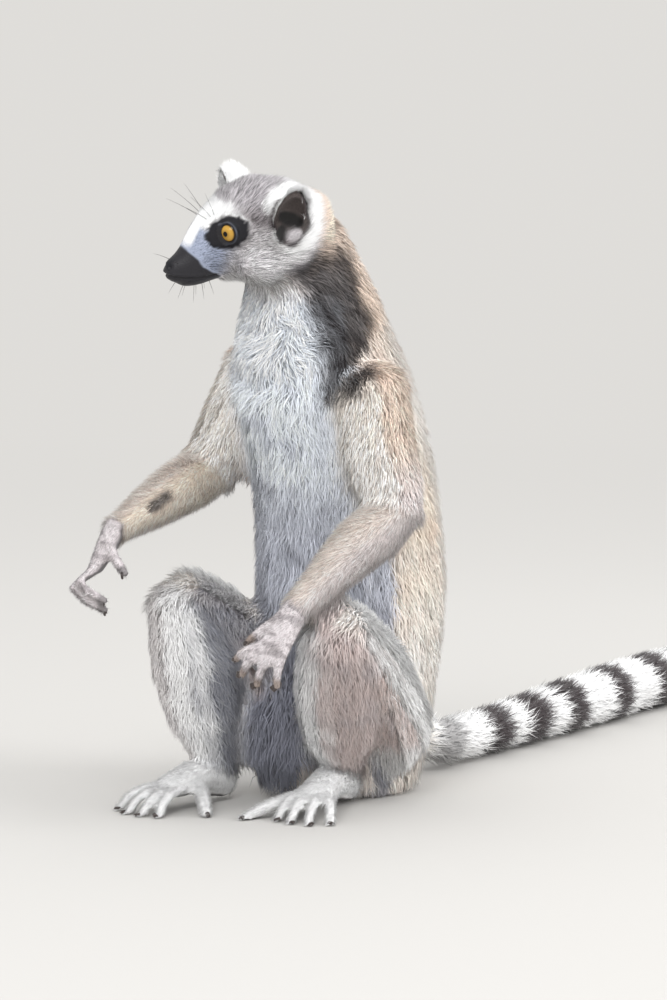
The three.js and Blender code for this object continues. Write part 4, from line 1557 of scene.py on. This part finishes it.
NAIL = {"length": 3.8, "half_width": 1.7, "rise": 2.3, "arch": 0.9, "thick": 0.35}  # millimetres
NAIL_ROWS, NAIL_COLUMNS = 6, 7
NAIL_BEHIND = 0.72  # the share of its length that a nail lies behind the middle of the digit's end
DIGIT_END, LAST_STRETCH = 3.2, 12.0  # millimetres from a digit's tip within which its end and its run are read


def nail_sheet(middle, way, back):
    """A plate over the end of a digit.

    Its middle line falls away as the square of the way along it, and its sides as the square of the way
    across. A second sheet under it closes it."""
    side = np.cross(way, back)
    u, v = np.meshgrid(np.linspace(-1, 1, NAIL_COLUMNS), np.linspace(0, 1, NAIL_ROWS))
    u, v = u.ravel(), v.ravel()
    ahead = (v - NAIL_BEHIND) * NAIL["length"]
    across = u * NAIL["half_width"] * (1 - 0.35 * v**3)
    high = NAIL["rise"] * (1 - 0.35 * v**2) - NAIL["arch"] * u**2
    top = middle + (ahead[:, None] * way + across[:, None] * side + high[:, None] * back) * MM
    return np.concatenate([top, top - back * NAIL["thick"] * MM])


def nail_faces():
    """Squares over both sheets of a nail and round their edge."""
    count = NAIL_ROWS * NAIL_COLUMNS
    grid = np.arange(count).reshape(NAIL_ROWS, NAIL_COLUMNS)
    top = np.stack([grid[:-1, :-1], grid[:-1, 1:], grid[1:, 1:], grid[1:, :-1]], 2).reshape(-1, 4)
    edge = np.concatenate([grid[0, :-1], grid[:-1, -1], grid[-1, :0:-1], grid[:0:-1, 0]])
    following = np.roll(edge, -1)
    rim = np.stack([following, edge, edge + count, following + count], 1)
    return np.concatenate([top, top[:, ::-1] + count, rim])


def make_nails():
    """A dark nail on the back of every digit's end, each set along the digit's last stretch."""
    material, _, _, shader = new_material("lemur nail")
    shader.inputs["Base Color"].default_value = (*linear(58, 50, 48), 1)
    shader.inputs["Roughness"].default_value = 0.35
    for name, ends in TIPS.items():
        spots, _ = node_shape(name)
        sheets = []
        for end in ends:
            close = np.linalg.norm(spots - end, axis=1)
            middle = spots[close < DIGIT_END * MM].mean(0)
            way = unit(middle - spots[close < LAST_STRETCH * MM].mean(0))
            back = np.array(BACKS[name])
            sheets.append(nail_sheet(middle, way, unit(back - way * dot(back, way))))
        faces = nail_faces()[None] + len(sheets[0]) * np.arange(len(sheets))[:, None, None]
        points = np.concatenate(sheets)
        points[:, 2] = np.maximum(points[:, 2], FLOOR_CLEAR * MM)
        show(f"nails_{name}", mesh_from(f"nails_{name}", points, faces.reshape(-1, 4)), material)


# Whiskers of one side in the head's frame: root, way and length in millimetres.
WHISKERS = (
    ((8.0, -38.5, 9.0), (0.25, -0.72, 0.65), 25.0),
    ((9.5, -37.0, 10.5), (0.3, -0.5, 0.8), 21.0),
    ((6.5, -40.0, 7.0), (0.2, -0.85, 0.5), 23.0),
    ((5.5, -55.0, -20.0), (0.6, -0.75, 0.3), 11.0),
    ((4.0, -50.0, -31.0), (0.2, -0.45, -0.85), 9.0),
    ((5.0, -44.0, -32.0), (0.3, -0.1, -0.95), 10.0),
    ((4.0, -38.0, -33.0), (0.2, 0.15, -0.95), 9.0),
    ((6.0, -33.0, -33.0), (0.3, 0.35, -0.9), 8.0),
)


WHISKER_RINGS = 8
WHISKER_HALF = 0.17  # millimetres


def hair_tube(root, way, length):
    """A fine tapered hair of rings of three, on a path that sags as the square of the way along it."""
    share = np.linspace(0, 1, WHISKER_RINGS + 1)[:, None]
    middle = root + (way * share - np.array([0, 0, 0.1]) * share**2) * length * MM
    across = unit(np.cross(way, [0.3, 0.2, 0.9]))
    other = np.cross(way, across)
    turn = np.radians([0, 120, 240])
    ring = across * np.cos(turn)[:, None] + other * np.sin(turn)[:, None]
    points = middle[:-1, None] + ring[None] * (WHISKER_HALF * MM * (1 - 0.7 * share[:-1, :, None]))
    return np.concatenate([points.reshape(-1, 3), middle[-1:]])


def tube_faces():
    """The triangles of a hair: its root's end, two for each side between two rings, and its point."""
    here = np.arange(3 * (WHISKER_RINGS - 1))
    there = here // 3 * 3 + (here + 1) % 3
    sides = [np.stack([here, here + 3, there], 1), np.stack([there, here + 3, there + 3], 1)]
    last = here[-3:] + 3
    point = np.stack([last, np.full(3, 3 * WHISKER_RINGS), np.roll(last, -1)], 1)
    return np.concatenate([[(0, 1, 2)], *sides, point])


def make_whiskers():
    """The long stiff hairs of both sides, each from the nearest place on the skin."""
    body = GROWN["body"]
    hairs = []
    for side in (1, -1):
        for root, way, length in WHISKERS:
            start = from_head(np.array(root) * [side, 1, 1])
            start = body.points[np.linalg.norm(body.points - start, axis=1).argmin()]
            hairs.append(hair_tube(start, unit(np.array(way) * [side, 1, 1]) @ HEAD_AXES, length))
    faces = tube_faces()[None] + len(hairs[0]) * np.arange(len(hairs))[:, None, None]
    mesh = mesh_from("whiskers", np.concatenate(hairs), faces.reshape(-1, 3))
    material, _, _, shader = new_material("lemur whisker")
    shader.inputs["Base Color"].default_value = (*linear(40, 36, 36), 1)
    shader.inputs["Roughness"].default_value = 0.5
    show("whiskers", mesh, material)


# ---- stage ---------------------------------------------------------------------------------------

PALE = (0.74, 0.725, 0.70)  # the backdrop
FLOOR = (0.51, 0.5, 0.483)
FLOOR_RADII, FLOOR_SIDES = (0.5, 1.5, 6.0), 64
FADE = (0.9, 2.6)  # metres from the animal where the floor starts and ends fading into the backdrop
LAMP_AIM = (0, 0, 0.2)
# The lamps: place and width in metres, and power over the key's.
LAMPS = {"key": ((1.1, -2.2, 2.1), 1.4, 1.0), "rim": ((1.9, 0.9, 1.4), 1.2, 0.8)}
CAMERA_PLACE = (1.3062, -1.57705, 0.393)
CAMERA_TURN = (math.radians(84.09), 0.0, math.radians(40))
LENS = 120.0


def lamp(name, place, size, power):
    """A round soft lamp that faces LAMP_AIM."""
    light = bpy.data.lights.new(name, "AREA")
    light.energy, light.size, light.shape = power, size, "DISK"
    thing = bpy.data.objects.new(name, light)
    bpy.context.scene.collection.objects.link(thing)
    way = np.array(LAMP_AIM) - np.array(place)
    flat = math.hypot(way[0], way[1])
    thing.location = place
    thing.rotation_euler = (math.atan2(flat, -way[2]), 0, math.atan2(way[1], way[0]) - math.pi / 2)


def seen_only(nodes, links):
    """1 for rays that come from the camera, a mirror or glass, and 0 for the light on the object."""
    path = nodes.new("ShaderNodeLightPath")
    either = nodes.new("ShaderNodeMath")
    either.operation = "MAXIMUM"
    every = nodes.new("ShaderNodeMath")
    every.operation = "MAXIMUM"
    links.new(path.outputs["Is Camera Ray"], either.inputs[0])
    links.new(path.outputs["Is Glossy Ray"], either.inputs[1])
    links.new(either.outputs[0], every.inputs[0])
    links.new(path.outputs["Is Transmission Ray"], every.inputs[1])
    return every.outputs[0]


def floor_disc():
    """The floor's mesh: a middle point and rings of points at FLOOR_RADII, with triangles between them."""
    turn = 2 * math.pi * np.arange(FLOOR_SIDES) / FLOOR_SIDES
    rim = np.stack([np.cos(turn), np.sin(turn), np.zeros(FLOOR_SIDES)], 1)
    points = np.concatenate([np.zeros((1, 3))] + [rim * radius for radius in FLOOR_RADII])
    here, there = 1 + np.arange(FLOOR_SIDES), 1 + (np.arange(FLOOR_SIDES) + 1) % FLOOR_SIDES
    faces = [np.stack([np.zeros(FLOOR_SIDES, int), here, there], 1)]
    for ring in range(len(FLOOR_RADII) - 1):
        a, b = here + FLOOR_SIDES * ring, there + FLOOR_SIDES * ring
        faces += [np.stack([a, a + FLOOR_SIDES, b + FLOOR_SIDES], 1), np.stack([a, b + FLOOR_SIDES, b], 1)]
    return mesh_from("floor", points, np.concatenate(faces), smooth=False)


def floor_material():
    """Matt pale grey that takes the shadow, and away from the animal shows the backdrop's own colour."""
    material, nodes, links, shader = new_material("studio floor")
    shader.inputs["Base Color"].default_value = (*FLOOR, 1)
    shader.inputs["Roughness"].default_value = 0.9
    shader.inputs["Specular IOR Level"].default_value = 0.1
    place = nodes.new("ShaderNodeTexCoord")
    away = nodes.new("ShaderNodeVectorMath")
    away.operation = "LENGTH"
    links.new(place.outputs["Object"], away.inputs[0])
    fade = nodes.new("ShaderNodeMapRange")
    fade.inputs["From Min"].default_value, fade.inputs["From Max"].default_value = FADE
    links.new(away.outputs["Value"], fade.inputs["Value"])
    share = nodes.new("ShaderNodeMath")
    share.operation = "MULTIPLY"
    links.new(fade.outputs["Result"], share.inputs[0])
    links.new(seen_only(nodes, links), share.inputs[1])
    glow = nodes.new("ShaderNodeEmission")
    glow.inputs["Color"].default_value = (*PALE, 1)
    both = nodes.new("ShaderNodeMixShader")
    links.new(share.outputs[0], both.inputs[0])
    links.new(shader.outputs["BSDF"], both.inputs[1])
    links.new(glow.outputs["Emission"], both.inputs[2])
    links.new(both.outputs["Shader"], nodes["Material Output"].inputs["Surface"])
    return material


def make_floor():
    """The pale disc under the animal."""
    floor = bpy.data.objects.new("floor", floor_disc())
    bpy.context.scene.collection.objects.link(floor)
    floor.data.materials.append(floor_material())


def make_world(fill):
    """Even white light of strength `fill`, behind which the camera sees the backdrop's colour."""
    world = bpy.data.worlds.new("studio")
    world.use_nodes = True
    nodes, links = world.node_tree.nodes, world.node_tree.links
    light = nodes["Background"]
    light.inputs["Color"].default_value = (1, 1, 1, 1)
    light.inputs["Strength"].default_value = fill
    seen = nodes.new("ShaderNodeBackground")
    seen.inputs["Color"].default_value = (*PALE, 1)
    both = nodes.new("ShaderNodeMixShader")
    links.new(seen_only(nodes, links), both.inputs[0])
    links.new(light.outputs[0], both.inputs[1])
    links.new(seen.outputs[0], both.inputs[2])
    links.new(both.outputs[0], nodes["World Output"].inputs["Surface"])
    bpy.context.scene.world = world


def make_stage():
    """The floor, the even light, the lamps and the camera."""
    scene = bpy.context.scene
    make_floor()
    make_world(scene.lemur.fill)
    for name, (place, size, power) in LAMPS.items():
        lamp(name, place, size, scene.lemur.key * power)
    lens = bpy.data.cameras.new("camera")
    lens.lens, lens.clip_start = LENS, 0.05
    camera = bpy.data.objects.new("camera", lens)
    camera.location, camera.rotation_euler = CAMERA_PLACE, CAMERA_TURN
    scene.collection.objects.link(camera)
    scene.camera = camera
    scene.view_settings.view_transform = "Standard"


# ---- add-on --------------------------------------------------------------------------------------


class LemurSettings(bpy.types.PropertyGroup):
    """What a user would change on the model."""

    fullness: FloatProperty(name="Fullness", description="Number of locks over the table's", default=1.0)
    coat_length: FloatProperty(name="Coat length", description="Locks' length over the table's", default=1.0)
    iris: FloatVectorProperty(
        name="Iris",
        description="Colour of the iris",
        subtype="COLOR",
        size=3,
        default=tuple(linear(188, 146, 66)),
    )
    key: FloatProperty(name="Key light", description="Power of the key lamp", default=34.0, unit="POWER")
    fill: FloatProperty(name="Fill", description="Strength of the even light from all round", default=1.32)


class LEMUR_OT_skin(bpy.types.Operator):
    """Make the skin: one shell under the coat, with lids, mouth and nostrils"""

    bl_idname = "lemur.skin"
    bl_label = "Skin"

    def execute(self, context):
        make_skin()
        return {"FINISHED"}


class LEMUR_OT_coat(bpy.types.Operator):
    """Grow the coat's locks on the skin, a piece for each region"""

    bl_idname = "lemur.coat"
    bl_label = "Coat"

    def execute(self, context):
        make_coat()
        return {"FINISHED"}


class LEMUR_OT_eyes(bpy.types.Operator):
    """Make the two eyeballs with their amber irises"""

    bl_idname = "lemur.eyes"
    bl_label = "Eyes"

    def execute(self, context):
        make_eyes()
        return {"FINISHED"}


class LEMUR_OT_nails(bpy.types.Operator):
    """Make the nails, a piece for each hand and foot"""

    bl_idname = "lemur.nails"
    bl_label = "Nails"

    def execute(self, context):
        make_nails()
        return {"FINISHED"}


class LEMUR_OT_whiskers(bpy.types.Operator):
    """Make the whiskers of the brow, muzzle and chin"""

    bl_idname = "lemur.whiskers"
    bl_label = "Whiskers"

    def execute(self, context):
        make_whiskers()
        return {"FINISHED"}


class LEMUR_OT_stage(bpy.types.Operator):
    """Make the floor, lamps, world and camera"""

    bl_idname = "lemur.stage"
    bl_label = "Stage"

    def execute(self, context):
        make_stage()
        return {"FINISHED"}


STEPS = (LEMUR_OT_skin, LEMUR_OT_coat, LEMUR_OT_eyes, LEMUR_OT_nails, LEMUR_OT_whiskers, LEMUR_OT_stage)


class LEMUR_PT_panel(bpy.types.Panel):
    """Lists the settings and the steps that build the animal"""

    bl_label = "Lemur"
    bl_idname = "LEMUR_PT_panel"
    bl_space_type = "VIEW_3D"
    bl_region_type = "UI"
    bl_category = "Lemur"

    def draw(self, context):
        for name in ("fullness", "coat_length", "iris", "key", "fill"):
            self.layout.prop(context.scene.lemur, name)
        for step in STEPS:
            self.layout.operator(step.bl_idname)


CLASSES = (LemurSettings, *STEPS, LEMUR_PT_panel)


def register():
    """Registers the classes, and gives the scene its settings."""
    for kind in CLASSES:
        bpy.utils.register_class(kind)
    bpy.types.Scene.lemur = PointerProperty(type=LemurSettings)


def unregister():
    """Takes back what register did."""
    del bpy.types.Scene.lemur
    for kind in reversed(CLASSES):
        bpy.utils.unregister_class(kind)


def main():
    """Builds the animal and its stage."""
    register()
    bpy.ops.lemur.skin()
    bpy.ops.lemur.coat()
    bpy.ops.lemur.eyes()
    bpy.ops.lemur.nails()
    bpy.ops.lemur.whiskers()
    bpy.ops.lemur.stage()


if __name__ == "__main__":
    main()
